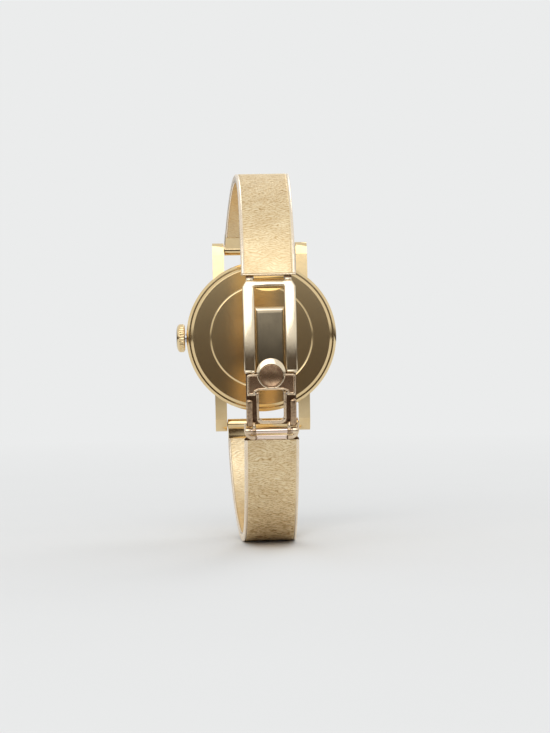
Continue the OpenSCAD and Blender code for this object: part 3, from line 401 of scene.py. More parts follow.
def piece(name, node, body, parts, material, sharp=None):
    """One object that stands for a CAD node, from (vertices, faces) or (vertices, faces, material) parts."""
    verts, faces, index, materials, offset = [], [], [], [material], 0
    for part in parts:
        v, f, m = (*part, material)[:3]
        if m not in materials:
            materials.append(m)
        verts.append(np.asarray(v, float))
        faces.extend([tuple(i + offset for i in face) for face in f])
        index.extend([materials.index(m)] * len(f))
        offset += len(v)
    mesh = to_mesh(name, np.concatenate(verts), faces)
    mesh.polygons.foreach_set("material_index", index)
    mesh.polygons.foreach_set("use_smooth", [True] * len(faces))
    for m in materials:
        mesh.materials.append(m)
    if sharp is not None:
        mesh.set_sharp_from_angle(angle=math.radians(sharp))
    obj = placed(name, mesh)
    weighted = obj.modifiers.new("normals", "WEIGHTED_NORMAL")
    weighted.weight = 100
    weighted.keep_sharp = True
    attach(obj, body)
    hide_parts(node)


def rounded(points, radius, steps=5):
    """Closed outline with its corners rounded; radius is one number or one for each point."""
    n = len(points)
    radii = radius if isinstance(radius, (list, tuple)) else [radius] * n
    out = []
    for i in range(n):
        p, a, b = (np.array(points[k % n], float) for k in (i, i - 1, i + 1))
        u, v = (a - p) / np.linalg.norm(a - p), (b - p) / np.linalg.norm(b - p)
        half = math.acos(max(-1, min(1, float(u @ v)))) / 2
        r = radii[i]
        if r <= 0 or abs(half - math.pi / 2) < 0.02:
            out.append(tuple(p))
            continue
        reach = min(r / math.tan(half), 0.49 * np.linalg.norm(a - p), 0.49 * np.linalg.norm(b - p))
        r = reach * math.tan(half)
        centre = p + (u + v) / np.linalg.norm(u + v) * (r / math.sin(half))
        start, end = p + u * reach - centre, p + v * reach - centre
        turn = math.atan2(start[0] * end[1] - start[1] * end[0], float(start @ end))
        for k in range(steps + 1):
            c, s = math.cos(turn * k / steps), math.sin(turn * k / steps)
            out.append((centre[0] + c * start[0] - s * start[1], centre[1] + s * start[0] + c * start[1]))
    return out


def mirrored(half, steps=5):
    """Rounded outline from the (x, z, corner radius) points of its left half."""
    points = half + [(-x, z, r) for x, z, r in reversed(half) if x]
    return rounded([p[:2] for p in points], [p[2] for p in points], steps)


def circle(x, z, r, n):
    return [(x + r * math.cos(2 * math.pi * k / n), z + r * math.sin(2 * math.pi * k / n)) for k in range(n)]


def slab(loops, thickness, bevel, seg=3, step=0.3):
    """Flat plate with rounded edges from 2D outlines (x, z), cut on a grid so that it can bend."""
    curve = bpy.data.curves.new("outline", "CURVE")
    curve.dimensions = "2D"
    curve.fill_mode = "BOTH"
    curve.extrude = thickness / 2 - bevel
    curve.bevel_depth = bevel
    curve.bevel_resolution = seg - 1
    curve.offset = -bevel
    for points in loops:
        spline = curve.splines.new("POLY")
        spline.points.add(len(points) - 1)
        for target, p in zip(spline.points, points):
            target.co = (p[0], p[1], 0, 1)
        spline.use_cyclic_u = True
    holder = placed("outline", curve)
    depsgraph = bpy.context.evaluated_depsgraph_get()
    mesh = bpy.data.meshes.new_from_object(holder.evaluated_get(depsgraph))
    bpy.data.objects.remove(holder)
    bpy.data.curves.remove(curve)
    bm = bmesh.new()
    bm.from_mesh(mesh)
    bpy.data.meshes.remove(mesh)
    bmesh.ops.remove_doubles(bm, verts=bm.verts, dist=1e-5)
    co = np.array([v.co for v in bm.verts])
    # Each cut stands a little off the grid, so that it meets no corner of the outline
    for axis, normal in ((0, (1, 0, 0)), (1, (0, 1, 0))):
        low, high = co[:, axis].min(), co[:, axis].max()
        count = max(1, round((high - low) / step))
        for k in range(1, count):
            at = low + (high - low) * k / count + 1e-4
            origin = [0, 0, 0]
            origin[axis] = at
            bmesh.ops.bisect_plane(bm, geom=bm.verts[:] + bm.edges[:] + bm.faces[:], dist=2e-5,
                                   plane_co=origin, plane_no=normal)
    bm.verts.index_update()
    verts = np.array([v.co for v in bm.verts])
    faces = [tuple(v.index for v in f.verts) for f in bm.faces]
    bm.free()
    return verts, faces


def clasp_plate(loops, r0, r1, bevel=0.1, seg=3, step=0.3, relief=None):
    """A slab bent on the clasp's curve between two radii; relief(x, z) lowers its outer face."""
    verts, faces = slab(loops, r1 - r0, bevel, seg, step)
    x, z, t = verts[:, 0], verts[:, 1], verts[:, 2]
    r = (r0 + r1) / 2 + t
    if relief is not None:
        r = r - relief(x, z) * np.clip(t / (r1 - r0) + 0.5, 0, 1)
    return np.stack([x, clasp_y(z, r), z], 1), faces


def rod(y, z, r, x0, x1, chamfer=0.06, n=40):
    """Round bar along X with eased ends."""
    ease = ((0, 1), (0.35, 0.3), (1, 0))
    rows = [(x0, POINT)] + [(x0 + a * chamfer, r - b * chamfer) for a, b in ease]
    rows += [(x1 - a * chamfer, r - b * chamfer) for a, b in reversed(ease)] + [(x1, POINT)]
    return lathe_x(rows, y, z, n)


def tube_faces(rows, n):
    """Faces of a closed tube of n-sided rings."""
    faces = [(i * n + k, i * n + (k + 1) % n, (i + 1) * n + (k + 1) % n, (i + 1) * n + k)
             for i in range(rows - 1) for k in range(n)]
    return faces + [tuple(range(n)), tuple((rows - 1) * n + k for k in range(n))]


def lathe_x(rows, y, z, n):
    """Solid turned about an axis along X, from (x, radius) rows."""
    return np.array([(x, *p) for x, r in rows for p in circle(y, z, r, n)]), tube_faces(len(rows), n)


def ball(centre, r, n=24):
    rows = [(centre[0] - r * math.cos(math.pi * k / 12), max(r * math.sin(math.pi * k / 12), POINT))
            for k in range(13)]
    return lathe_x(rows, centre[1], centre[2], n)


def block(x0, x1, profile):
    """Four-sided (y, z) profile between two places along X."""
    verts = [(x, y, z) for x in (x0, x1) for y, z in profile]
    sides = [(k, (k + 1) % 4, (k + 1) % 4 + 4, k + 4) for k in range(4)]
    return np.array(verts), [(0, 1, 2, 3), (4, 5, 6, 7)] + sides


def head_place(local):
    """From the watch head's own axes, as in the CAD, to the model's."""
    local = np.asarray(local, float)
    return np.stack([-local[:, 0], local[:, 2] + HEAD_Y, local[:, 1] + HEAD_RISE], 1)


def lathe_head(rows, n=180, closed=True):
    """Ring turned about the head's axis from (radius, height) rows; a row at radius 0 closes a disc."""
    verts, faces, rings = [], [], []
    for r, h in rows:
        if r < 1e-6:
            rings.append([len(verts)])
            verts.append((0, 0, h))
        else:
            rings.append(list(range(len(verts), len(verts) + n)))
            verts += [(x, y, h) for x, y in circle(0, 0, r, n)]
    pairs = list(zip(rings, rings[1:]))
    if closed:
        pairs.append((rings[-1], rings[0]))
    for a, b in pairs:
        if len(a) == len(b) == 1:
            continue
        for k in range(n):
            m = (k + 1) % n
            if len(a) == 1:
                faces.append((a[0], b[k], b[m]))
            elif len(b) == 1:
                faces.append((a[k], a[m], b[0]))
            else:
                faces.append((a[k], a[m], b[m], b[k]))
    return head_place(verts), faces


# Noise on integer lattices, the same on every run


def lattice(i, j, seed):
    """0 to 1, from the mixed bits of two whole numbers and a seed."""
    n = (i * 374761393 + j * 668265263 + seed * 974634777) & 0xFFFFFFFF
    n = ((n ^ (n >> 13)) * 1274126177) & 0xFFFFFFFF
    return ((n ^ (n >> 16)) & 0xFFFF) / 65535.0


def value_noise(x, y, seed):
    """0 to 1, smooth between the lattice's points."""
    i, j = np.floor(x).astype(np.int64), np.floor(y).astype(np.int64)
    fx, fy = x - i, y - j
    fx, fy = fx * fx * (3 - 2 * fx), fy * fy * (3 - 2 * fy)
    low = lattice(i, j, seed) * (1 - fx) + lattice(i + 1, j, seed) * fx
    high = lattice(i, j + 1, seed) * (1 - fx) + lattice(i + 1, j + 1, seed) * fx
    return low * (1 - fy) + high * fy


def strands(x, s, slope, length, row_h, seed):
    """Rounded strands in leaning rows, each with its own height."""
    p = (s + slope * x) / row_h
    row = np.floor(p).astype(np.int64)
    across = 2 * (p - row) - 1
    q = x / length + 0.43 * row + 0.25 * lattice(row, row * 0, seed)
    cell = np.floor(q).astype(np.int64)
    along = 2 * (q - cell) - 1
    full = 0.55 + 0.45 * np.sqrt(np.clip(1 - along * along, 0, 1))
    body = np.sqrt(np.clip(1 - (across / full) ** 2, 0, 1)) * (1 - 0.35 * np.abs(along) ** 3)
    return body * (0.78 + 0.22 * lattice(row, cell, seed + 1))


def weave_height(x, s, seed):
    """0 to 1: two leaning sets of strands that meet in patches, warped so that they look like bark."""
    wx = x + (value_noise(x / 1.6, s / 1.2, seed) - 0.5)
    ws = s + 0.68 * (value_noise(x / 1.1, s, seed + 1) - 0.5)
    one = strands(wx, ws, 0.32, 1.25, 0.46, seed + 2)
    other = strands(wx, ws, -0.3, 1.15, 0.43, seed + 12)
    share = np.clip((value_noise(x / 1.3 + 9, s, seed + 22) - 0.47) / 0.08, 0, 1)
    bark = 0.85 + 0.4 * (value_noise(x / 0.5, s / 0.16, seed + 5) - 0.5)
    return np.clip((one * share + other * (1 - share)) * bark, 0, 1)


# Woven halves of the bracelet

# For the upper and the lower half: seed, depth of pits, sink of hollows, and calmness at the clasp
WEAVES = {1: (20, 0.065, 0.15, 0.6), -1: (60, 0.08, 0.3, 0.25)}
BAND_STEP = 0.12
COLUMNS = 86
EDGE_STEPS = 13
OUT_ROUND, UNDER_ROUND = 0.34, 0.26


def band_half(y):
    """Half the band's width, which grows towards the case."""
    return BAND_HALF + BAND_SPREAD * np.clip((y - CLASP_END_Y) / (BAR_Y - CLASP_END_Y), 0, 1) ** 3


def bell(value, middle, width):
    """1 at the middle, falling to 0 on both sides."""
    return np.exp(-((value - middle) / width) ** 2)


def outer_face(end, x, s, inset, bottom, rope, clasp_s):
    """Depth of the band's outer side, and its height from 0 to 1 for the colour, which paints shade into the
    pits and the groove.
    """
    seed, pit, sink, calmness = WEAVES[end]
    hollow = np.clip((value_noise(x / 0.8, s / 0.32, seed + 31) - 0.2) / 0.16, 0.1, 1)
    weave = weave_height(x, s, seed) * (1 - (1 - hollow) * (sink + 0.6 * bottom))
    weave = weave + (0.46 - weave) * bell(s, clasp_s, 11) * calmness
    woven_depth = 0.05 + (pit + 0.17 * bottom) * (1 - weave)
    strip = 1 / (1 + np.exp((inset - 0.56) / 0.035))
    strip_depth = 0.015 + 0.1 * np.clip((inset - 0.34) / 0.2, 0, 1) ** 2 + 0.02 * rope
    groove = 0.1 * bell(inset, 0.58, 0.07)
    depth = strip * strip_depth + (1 - strip) * woven_depth + groove
    # Painted shade: the colour height sinks in pits, more so low on the loop, and in the groove beside the
    # edge strip
    return depth, strip * 0.94 + (1 - strip) * weave ** (1 + 0.9 * bottom) - 1.2 * groove


def band_section(end, s, half, clasp_s):
    """Ring of points round the band at each length s: place across, depth, height and inset."""
    f = np.linspace(-1, 1, COLUMNS)
    x_out = f * (half - OUT_ROUND)
    inset = half - np.abs(x_out)
    # The lower half is rougher where the loop stands on it, and its colour there is darker as painted shade
    bottom = bell(s, 4, 11) if end < 0 else 0 * s
    rope = 0.5 + 0.5 * np.cos(2 * math.pi * s / 1.45)
    t_out, relief_out = outer_face(end, x_out, s, inset, bottom, rope, clasp_s)
    notch = (0.01 + 0.1 * bottom) * (1 - rope)
    phi = np.radians([15, 35, 55, 75, 90])
    phi_under = np.radians([30, 60, 90])
    edge_x = np.concatenate([half - OUT_ROUND + (OUT_ROUND - notch) * np.sin(phi), half - notch + np.zeros(5),
                             half - UNDER_ROUND + (UNDER_ROUND - notch) * np.cos(phi_under)], 1)
    edge_t = np.concatenate([0.015 + (0.006 + 0.014 * bottom) * rope + OUT_ROUND * (1 - np.cos(phi)),
                             np.linspace(OUT_ROUND + 0.1, BAND_T - UNDER_ROUND, 5) + 0 * s,
                             BAND_T - UNDER_ROUND + UNDER_ROUND * np.sin(phi_under) + 0 * s], 1)
    # The underside's colour height also paints shade into its pits
    under = weave_height(x_out + 40, s, WEAVES[end][0] + 9)[:, ::-1]
    x = np.concatenate([x_out, edge_x, f[::-1] * (half - UNDER_ROUND), -edge_x[:, ::-1]], 1)
    t = np.concatenate([t_out, edge_t, BAND_T - 0.07 * (1 - under), edge_t[:, ::-1]], 1)
    side = np.full_like(edge_x, 0.9)
    return x, t, np.concatenate([relief_out, side, 0.35 + 0.6 * under, side], 1), inset


def woven_half(name, end, stands_for):
    """One continuous woven length from the link at the case, over the loop's top or bottom, to the clasp."""
    fall = LOOP_TOP - (BAR_Z + end * HEAD_RISE)
    shoulder_r = (BAR_OUT ** 2 + fall ** 2 - (BAND_T / 2) ** 2) / (2 * fall - BAND_T)
    start = math.degrees(math.asin((shoulder_r - fall) / (shoulder_r - BAND_T / 2))) + 8

    def side_turn(depth):
        """Degrees from the loop's top to the end at the clasp."""
        return 90 - np.degrees(np.arcsin((MESH_END[end] - SIDE_CZ) / (SIDE_R - depth)))

    len_a = math.radians(90 - start) * shoulder_r
    len_b = math.radians(side_turn(0.0)) * SIDE_R
    u = np.concatenate([np.linspace(-1, 0, round(len_a / BAND_STEP) + 1),
                        np.linspace(0, 1, round(len_b / BAND_STEP) + 1)[1:]])[:, None]
    s = np.where(u < 0, u * len_a, u * len_b)
    radius = np.where(u < 0, shoulder_r, SIDE_R)
    turn = 90 + u * np.where(u < 0, 90 - start, side_turn(0.0))
    half = band_half(LOOP_SHIFT + radius * np.cos(np.radians(turn)))
    x, t, relief, inset = band_section(end, s, half, len_b)
    angle = np.radians(np.where(u < 0, turn, 90 + u * side_turn(t)))
    y = LOOP_SHIFT + (radius - t) * np.cos(angle)
    z = LOOP_TOP - radius + (radius - t) * np.sin(angle)
    rows, ring = x.shape
    verts = np.stack([x * band_half(y) / half, y, z * end], 2).reshape(-1, 3)
    faces = [(a, d, c, b) for a, b, c, d in tube_faces(rows, ring)[:-2]]
    for o in (0, (rows - 1) * ring):
        for c in range(COLUMNS - 1):
            d = 2 * COLUMNS + EDGE_STEPS - 1 - c
            faces.append((o + c, o + c + 1, o + d - 1, o + d))
        faces.append([o + COLUMNS - 1 + m for m in range(EDGE_STEPS + 2)])
        faces.append([o] + [o + 2 * COLUMNS + EDGE_STEPS - 1 + m for m in range(EDGE_STEPS + 1)])
    mesh = to_mesh(name, verts, faces)
    mesh.polygons.foreach_set("use_smooth", [True] * len(mesh.polygons))
    mesh.materials.append(woven_gold)
    mesh.materials.append(edge_gold)
    smooth = np.zeros((rows - 1, ring), int)
    smooth[:, COLUMNS - 1:COLUMNS + EDGE_STEPS] = smooth[:, -EDGE_STEPS - 1:] = 1
    smooth[:, :COLUMNS - 1][inset[:-1, :COLUMNS - 1] < 0.5] = 1
    index = np.zeros(len(mesh.polygons), int)
    index[:smooth.size] = smooth.reshape(-1)
    mesh.polygons.foreach_set("material_index", index)
    flat = np.stack([verts[:, 0], (s + 0 * x).reshape(-1), t.reshape(-1)], 1).reshape(-1)
    relief = np.clip(relief, 0, 1).reshape(-1)
    mesh.attributes.new("flat", "FLOAT_VECTOR", "POINT").data.foreach_set("vector", flat.astype(np.float32))
    mesh.attributes.new("relief", "FLOAT", "POINT").data.foreach_set("value", relief.astype(np.float32))
    obj = placed(name, mesh)
    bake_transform(obj)
    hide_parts(*stands_for)


woven_half("upper_woven_band", 1, ("upper_mesh_at_case", "upper_mesh_at_clasp"))
woven_half("lower_woven_band", -1, ("lower_mesh_at_case", "lower_mesh_at_clasp"))


# Clasp: frame with its rails and bridge


def rail_relief(x, z):
    """Faint crown on the rails, and a rounder one on the bridge."""
    rail = 0.08 * np.clip(np.abs(np.abs(x) - (FRAME_HALF + RAIL_IN) / 2) / 0.95, 0, 1) ** 4
    bridge = 0.16 * np.clip(np.abs(z - (FRAME_TOP - 0.5)) / 0.5, 0, 1) ** 2
    return np.where(np.abs(x) > RAIL_IN, rail, bridge)


def clasp_frame():
    under = FRAME_TOP - 1
    outline = mirrored([(0.6 - FRAME_HALF, FRAME_TOP, 0.2), (-FRAME_HALF, under, 0.35),
                        (-FRAME_HALF, RAIL_END, 0.25), (-RAIL_IN, RAIL_END, 0.25), (-RAIL_IN, under, 0.12)])
    lens = mirrored([(-2.5, under + 0.15, 0.3), (-2.2, under - 0.4, 0.3), (-1.2, under - 0.75, 0.3),
                     (0, under - 0.86, 0.3)])
    parts = [clasp_plate([outline], CLASP_R - FRAME_T, CLASP_R, 0.17, 3, 0.3, rail_relief),
             clasp_plate([lens], 38.75, 39.3, 0.12, 3, 0.2) + (hand_gold,)]
    near, far, foot = HINGE_Y + KNUCKLE_R, HINGE_Y - KNUCKLE_R, FRAME_TOP - 0.2
    # The hinge knuckles take the dark channel gold, as painted shade
    for a, b in ((-3.85, -2.65), (2.65, 3.85)):
        parts.append(rod(HINGE_Y, HINGE_Z, KNUCKLE_R, a, b) + (channel_shade_gold,))
        parts.append(block(a + 0.04, b - 0.04, [(near, HINGE_Z), (far, HINGE_Z), (far, foot), (near, foot)]))
    stop_y = clasp_y(-2.55, 39.75)
    parts += [rod(stop_y, RAIL_END, 0.3, -4.35, -3.0, 0.12, 24), ball((-2.95, stop_y - 0.02, -2.62), 0.36),
              rod(stop_y, RAIL_END, 0.3, 2.65, 4.35, 0.12, 24)]
    piece("clasp_frame_rails", "clasp_frame", "clasp_frame", parts, polished_gold)


clasp_frame()


def grid_part(xs, zs, outer, inner):
    """Closed plate over a grid: outer(x, z) and inner(x, z) give radii on the clasp's curve."""
    gx, gz = np.meshgrid(xs, zs, indexing="ij")
    n, m = gx.shape
    o = n * m
    verts = [np.stack([gx, clasp_y(gz, shape(gx, gz)), gz], 2).reshape(-1, 3) for shape in (outer, inner)]
    faces = []
    for i in range(n - 1):
        for j in range(m - 1):
            a, b, c, d = i * m + j, (i + 1) * m + j, (i + 1) * m + j + 1, i * m + j + 1
            faces += [(a, b, c, d), (o + a, o + d, o + c, o + b)]
    rim = [i * m for i in range(n)] + [(n - 1) * m + j for j in range(1, m)]
    rim += [i * m + m - 1 for i in range(n - 2, -1, -1)] + list(range(m - 2, 0, -1))
    faces += [(a, b, o + b, o + a) for a, b in zip(rim, rim[1:] + rim[:1])]
    return np.concatenate(verts), faces


def tongue_plate():
    top, foot, half = 8.3, -5.15, 2.45
    edge = np.array([1.9, 1.98, 2.03, 2.08, 2.16, 2.26, 2.36, 2.42, half])
    xs = np.concatenate([-edge[::-1], np.linspace(-1.7, 1.7, 13), edge])
    zs = np.concatenate([np.linspace(foot, 7.1, 62), np.linspace(7.2, 8.1, 14),
                         [8.17, 8.22, 8.26, 8.285, top]])
    lean, lean_rise = math.radians(0.96), math.radians(0.442)

    def outer(x, z):
        """Leans a little more with each step of height, and falls away at its sides and top."""
        line = 39.4 + np.log(np.cos(lean + lean_rise * z) / math.cos(lean)) / lean_rise
        face = np.where(z > -2, np.hypot(line, z), 39.469)
        side = 0.3 * np.clip((np.abs(x) - 2.0) / 0.42, 0, 1) ** 1.1
        side = side + 0.1 * np.clip((np.abs(x) - 2.36) / 0.09, 0, 1) ** 2
        rise = np.clip((z - 7.2) / (top - 7.2), 0, 1)
        return face - np.maximum(side, 0.72 * (1 - np.sqrt(1 - rise ** 2))) - 0.03 * (x / 2) ** 2

    def inner(x, z):
        return BASE_R + 0.02 * (np.abs(x) > 2.4)

    verts, faces = grid_part(xs, zs, outer, inner)

    # Faces in the middle of the tongue, below its rounded top, take the darkened gold as painted shade; its
    # sides and top stay polished
    def shade_painted(face):
        return max(verts[i][2] for i in face) < 7.75 and max(abs(verts[i][0]) for i in face) < 2.3

    parts = [(verts, [f for f in faces if shade_painted(f)]),
             (verts, [f for f in faces if not shade_painted(f)], polished_gold)]
    piece("tongue_plate_bent", "tongue_plate", "lower_clasp", parts, tongue_shade_gold)


tongue_plate()


def lower_frame():
    window = mirrored([(-2.08, -5.65, 0.3), (-2.08, -10.7, 0.75)], 7)
    rim = mirrored([(-2.55, -5.23, 0.25), (-2.55, -11.3, 1.05)], 7)
    base = mirrored([(-2.32, 0, 0.1), (-2.32, -2.6, 0.1), (-4.19, -2.6, 0.15), (-4.19, -11.3, 0.3)])
    rail = ((3.09, -11.75), (4.19, -11.75), (4.19, -7.1), (3.09, -7.1))
    arm = [(PIN_Y - 0.5, -PIN_Z), (PIN_Y + 0.6, -PIN_Z), (PIN_Y + 0.6, -11.0), (PIN_Y - 0.5, -11.0)]

    def ring(x, z):
        """Rounded sides, and a top bar that lies under the latch."""
        side = 0.14 * np.clip(np.abs(np.abs(x) - 2.315) / 0.235, 0, 1) ** 2 * (np.abs(x) > 2.08)
        return side + 0.45 * np.clip((z + 6.0) / 0.3, 0, 1) + 0.12 * np.clip((z + 7.6) / 0.3, 0, 1)

    def cushion(x, z):
        across = 0.2 * np.clip(np.abs(np.abs(x) - 3.64) / 0.55, 0, 1) ** 2
        crest = 0.3 * np.clip((z + 7.75) / 0.65, 0, 1) ** 2 + 0.25 * np.clip((-11.1 - z) / 0.65, 0, 1) ** 2
        return across + crest

    # The channel floor between the rim and the rails takes the dark channel gold, as painted shade
    parts = [clasp_plate([base, window], BASE_IN_R, 38.75, 0.08, 2, 0.4),
             clasp_plate([base, window], 38.55, BASE_R, 0.09, 2, 0.4) + (channel_shade_gold,),
             clasp_plate([rim, window], BASE_R, CLASP_R, 0.13, 3, 0.3, ring) + (worn_gold,)]
    for side in (-1, 1):
        outline = rounded([(side * x, z) for x, z in rail], [0.3, 0.3, 0.5, 0.5])
        a, b = sorted((side * 2.61, side * 3.31))
        # The side rails and knuckles take the darkened gold, as painted shade
        parts += [clasp_plate([outline], BASE_IN_R, CLASP_R, 0.2, 3, 0.22, cushion) + (lower_shade_gold,),
                  rod(PIN_Y, -PIN_Z, 0.67, a, b, 0.09) + (lower_shade_gold,), block(a + 0.05, b - 0.05, arm)]
    piece("lower_frame_window", "lower_frame", "lower_clasp", parts, polished_gold)


lower_frame()


# Latch: round head with a sloping rim, a dished face, and two wings with raised rims


def latch():
    wing = mirrored([(-1.2, -0.9, 0.2), (-2.1, -1.8, 0.2), (-2.3, -3.0, 0), (-4.05, -3.0, 0.3),
                     (-4.05, -6.45, 0.3), (-2.87, -6.45, 0.25), (-2.7, -5.9, 0.3), (-2.35, -5.68, 0.6),
                     (0, -5.5, 1.5)], 6)
    inner_rim = [(0, -5.14, 1.0), (-2.2, -5.3, 0.8), (-2.95, -5.62, 0.35), (-3.1, -6.08, 0.3),
                 (-3.68, -6.08, 0.2), (-3.68, -3.36, 0.2), (-2.2, -3.34, 0.05)]
    outer_rim = [(-2.2, -2.95, 0.05), (-3.75, -2.98, 0.25), (-4.05, -3.3, 0.25), (-4.05, -6.45, 0.35),
                 (-2.9, -6.45, 0.3), (-2.7, -5.92, 0.3), (-2.3, -5.68, 0.8), (0, -5.52, 1.0)]
    rim = mirrored(inner_rim + outer_rim)
    hole_r, stretch = DISC_R + 0.05, 1.12
    hole = circle(0, DISC_Z, hole_r, 72)
    head = [(x, max(z, HEAD_Z) + min(z - HEAD_Z, 0) * stretch) for x, z in circle(0, HEAD_Z, HEAD_R, 96)]

    def bevel(x, z):
        """Slope of the head round its disc, shallower where the head is narrow."""
        away = np.hypot(x, (z - HEAD_Z) / np.where(z < HEAD_Z, stretch, 1))
        inner = np.hypot(x, z - DISC_Z) - hole_r
        width = np.maximum(HEAD_R - away + inner, 1e-3)
        return 0.42 * np.clip(inner / width, 0, 1) ** 1.3 * np.clip(width / 0.7 - 0.2, 0, 1)

    # The wings' sunk faces take the darkened gold, as painted shade
    parts = [clasp_plate([wing, hole], LATCH_R, SUNK_R - 0.1, 0.06, 2, 0.25),
             clasp_plate([wing, hole], LATCH_R + 0.2, SUNK_R, 0.07, 2, 0.25) + (recess_shade,),
             clasp_plate([rim], LATCH_R + 0.2, LATCH_TOP_R, 0.16, 3, 0.2) + (worn_gold,),
             clasp_plate([head, hole], LATCH_R, LATCH_TOP_R, 0.07, 3, 0.12, bevel)]
    parts += [rod(LATCH_PIN_Y, -LATCH_PIN_Z, 0.4, a, b, 0.1) for a, b in ((-4.0, -2.65), (2.65, 4.0))]
    piece("latch_body", "latch", "latch", parts, polished_gold)


latch()


def latch_disc():
    """Plain dished face, with a soft border, in the darkened gold that paints shade."""
    rings, n = 14, 72
    points = [p for k in range(1, rings + 1) for p in circle(0, 0, DISC_R * k / rings, n)]
    flat = np.array([(0.0, 0.0)] + points)
    faces = [(0, 1 + m, 1 + (m + 1) % n) for m in range(n)]
    faces += [tuple(1 + v for v in face) for face in tube_faces(rings, n)[:-2]]
    share = np.hypot(flat[:, 0], flat[:, 1]) / DISC_R
    top_r = 39.97 + 0.33 * share ** 2.1 - 0.1 * np.clip((share - 0.93) / 0.07, 0, 1) ** 2
    z = flat[:, 1] + DISC_Z
    sides = [np.stack([flat[:, 0], clasp_y(z, r), z], 1) for r in (top_r, 39.75)]
    count, last = len(flat), 1 + (rings - 1) * n
    under = [tuple(count + i for i in reversed(face)) for face in faces]
    wall = [(last + m, last + (m + 1) % n, count + last + (m + 1) % n, count + last + m) for m in range(n)]
    solid = np.concatenate(sides), faces + under + wall
    piece("latch_disc_dished", "latch_disc", "latch", [solid], recess_shade)


latch_disc()


# End of the upper band, stirrup of the lower band, and the pins


def upper_end_cap():
    strip = mirrored([(-BAND_HALF, MESH_END[1], 0.06), (-BAND_HALF, CAP_Z, 0.06)], 2)
    verts, faces = slab([strip], BAND_T, 0.1, 3, 0.3)
    x, z, t = verts.T
    r = SIDE_R - BAND_T / 2 + t
    y = LOOP_SHIFT - np.sqrt(r * r - (z - SIDE_CZ) ** 2)
    arm = [(HINGE_Y - 0.2, HINGE_Z), (HINGE_Y + KNUCKLE_R, HINGE_Z), (CLASP_END_Y + 1.1, CAP_Z + 0.1),
           (CLASP_END_Y + 0.2, CAP_Z + 0.1)]
    parts = [(np.stack([x, y, z], 1), faces), block(-2.5, 2.5, arm),
             rod(HINGE_Y, HINGE_Z, KNUCKLE_R, -2.55, 2.55, 0.08) + (hand_gold,)]
    piece("upper_band_end", "upper_end_cap", "upper_tail", parts, polished_gold)


upper_end_cap()


def stirrup():
    bar = mirrored([(-3.9, -13.3, 0.4), (-BAND_HALF, -13.75, 0.3), (-BAND_HALF, -14.05, 0.05)], 4)
    front = mirrored([(-2.6, -13.2, 0.12), (-2.6, -13.98, 0.12)], 4)
    ear = ((BAND_HALF, -11.1), (BAND_HALF, -12.6), (4.3, -13.45), (3.55, -13.95), (2.7, -13.98), (2.7, -13.3),
           (3.3, -13.3), (3.95, -13.0), (4.25, -12.45), (4.28, -11.1))
    ear_round = [0.16, 0.6, 0.6, 0.5, 0.15, 0.15, 0.4, 0.4, 0.4, 0.16]
    # The bar behind the band takes the dark channel gold, as painted shade
    parts = [clasp_plate([bar], 38.4, 39.5, 0.2, 3, 0.3) + (channel_shade_gold,),
             clasp_plate([front], 39.0, 39.95, 0.2, 3, 0.3) + (rose_pin,)]
    for side in (-1, 1):
        outline = rounded([(side * x, z) for x, z in ear], ear_round)
        a, b = sorted((side * 3.41, side * 4.5))
        parts += [clasp_plate([outline], 38.8, 39.95, 0.14, 3, 0.2) + (worn_gold,),
                  rod(PIN_Y, -PIN_Z, 0.64, a, b, 0.16) + (worn_gold,)]
    piece("lower_band_stirrup", "stirrup", "lower_tail", parts, polished_gold)


stirrup()

piece("clasp_pin_bar", "clasp_pin", "lower_tail", [rod(PIN_Y, -PIN_Z, 0.47, -4.35, 4.35, 0.08)],
      rose_pin)
piece("hinge_pin_bar", "hinge_pin", "clasp_frame", [rod(HINGE_Y, HINGE_Z, 0.2, -3.85, 3.85, 0.04)],
      steel)


# Watch head


def bezel():
    foot, top, glass = DIAL_TOP + 0.15, DIAL_TOP + 2.15, CRYSTAL_H + CRYSTAL_T + 0.05
    rows = rounded([(BORE_R + 0.35, foot), (CASE_R - 0.3, foot), (CASE_R - 0.3, foot + 0.3),
                    (CASE_R - 0.9, top), (BEZEL_HOLE_R, top), (BEZEL_HOLE_R, glass), (BORE_R + 0.35, glass)],
                   [0.02, 0.05, 0.15, 0.25, 0.12, 0.03, 0.02], 4)
    piece("bezel_ring", "bezel", "case", [lathe_head(rows)], case_gold)


def crystal():
    z0, top, r, edge, ease = CRYSTAL_H, CRYSTAL_H + CRYSTAL_T, CRYSTAL_R, BEZEL_HOLE_R - 0.1, 0.04
    rows = [(0, z0), (r * 0.5, z0), (r - ease, z0), (r, z0 + ease), (r, top - ease), (r - ease, top),
            (edge, top), (edge, top + 0.06), (edge - 0.06, top + 0.1)]
    rows += [(edge * k / 14, top + 0.1 + 0.5 * (1 - (k / 14) ** 2)) for k in range(13, -1, -1)]
    dome = lathe_head(rows, 160, closed=False)
    piece("crystal_dome", "crystal", "case", [dome], crystal_glass, 40)


def case_back():
    r = BORE_R + 0.7
    rows = rounded([(0, 0), (9.6, 0), (9.75, 0.07), (9.9, 0), (r - 0.5, 0), (r, 0.4), (r, 1.45),
                    (r - 0.4, 1.45), (r - 0.4, 0.7), (0, 0.7)],
                   [0, 0.05, 0.05, 0.05, 0.15, 0.15, 0.03, 0.03, 0.03, 0], 3)
    piece("case_back_lid", "case_back", "case", [lathe_head(rows, closed=False)], back_gold)


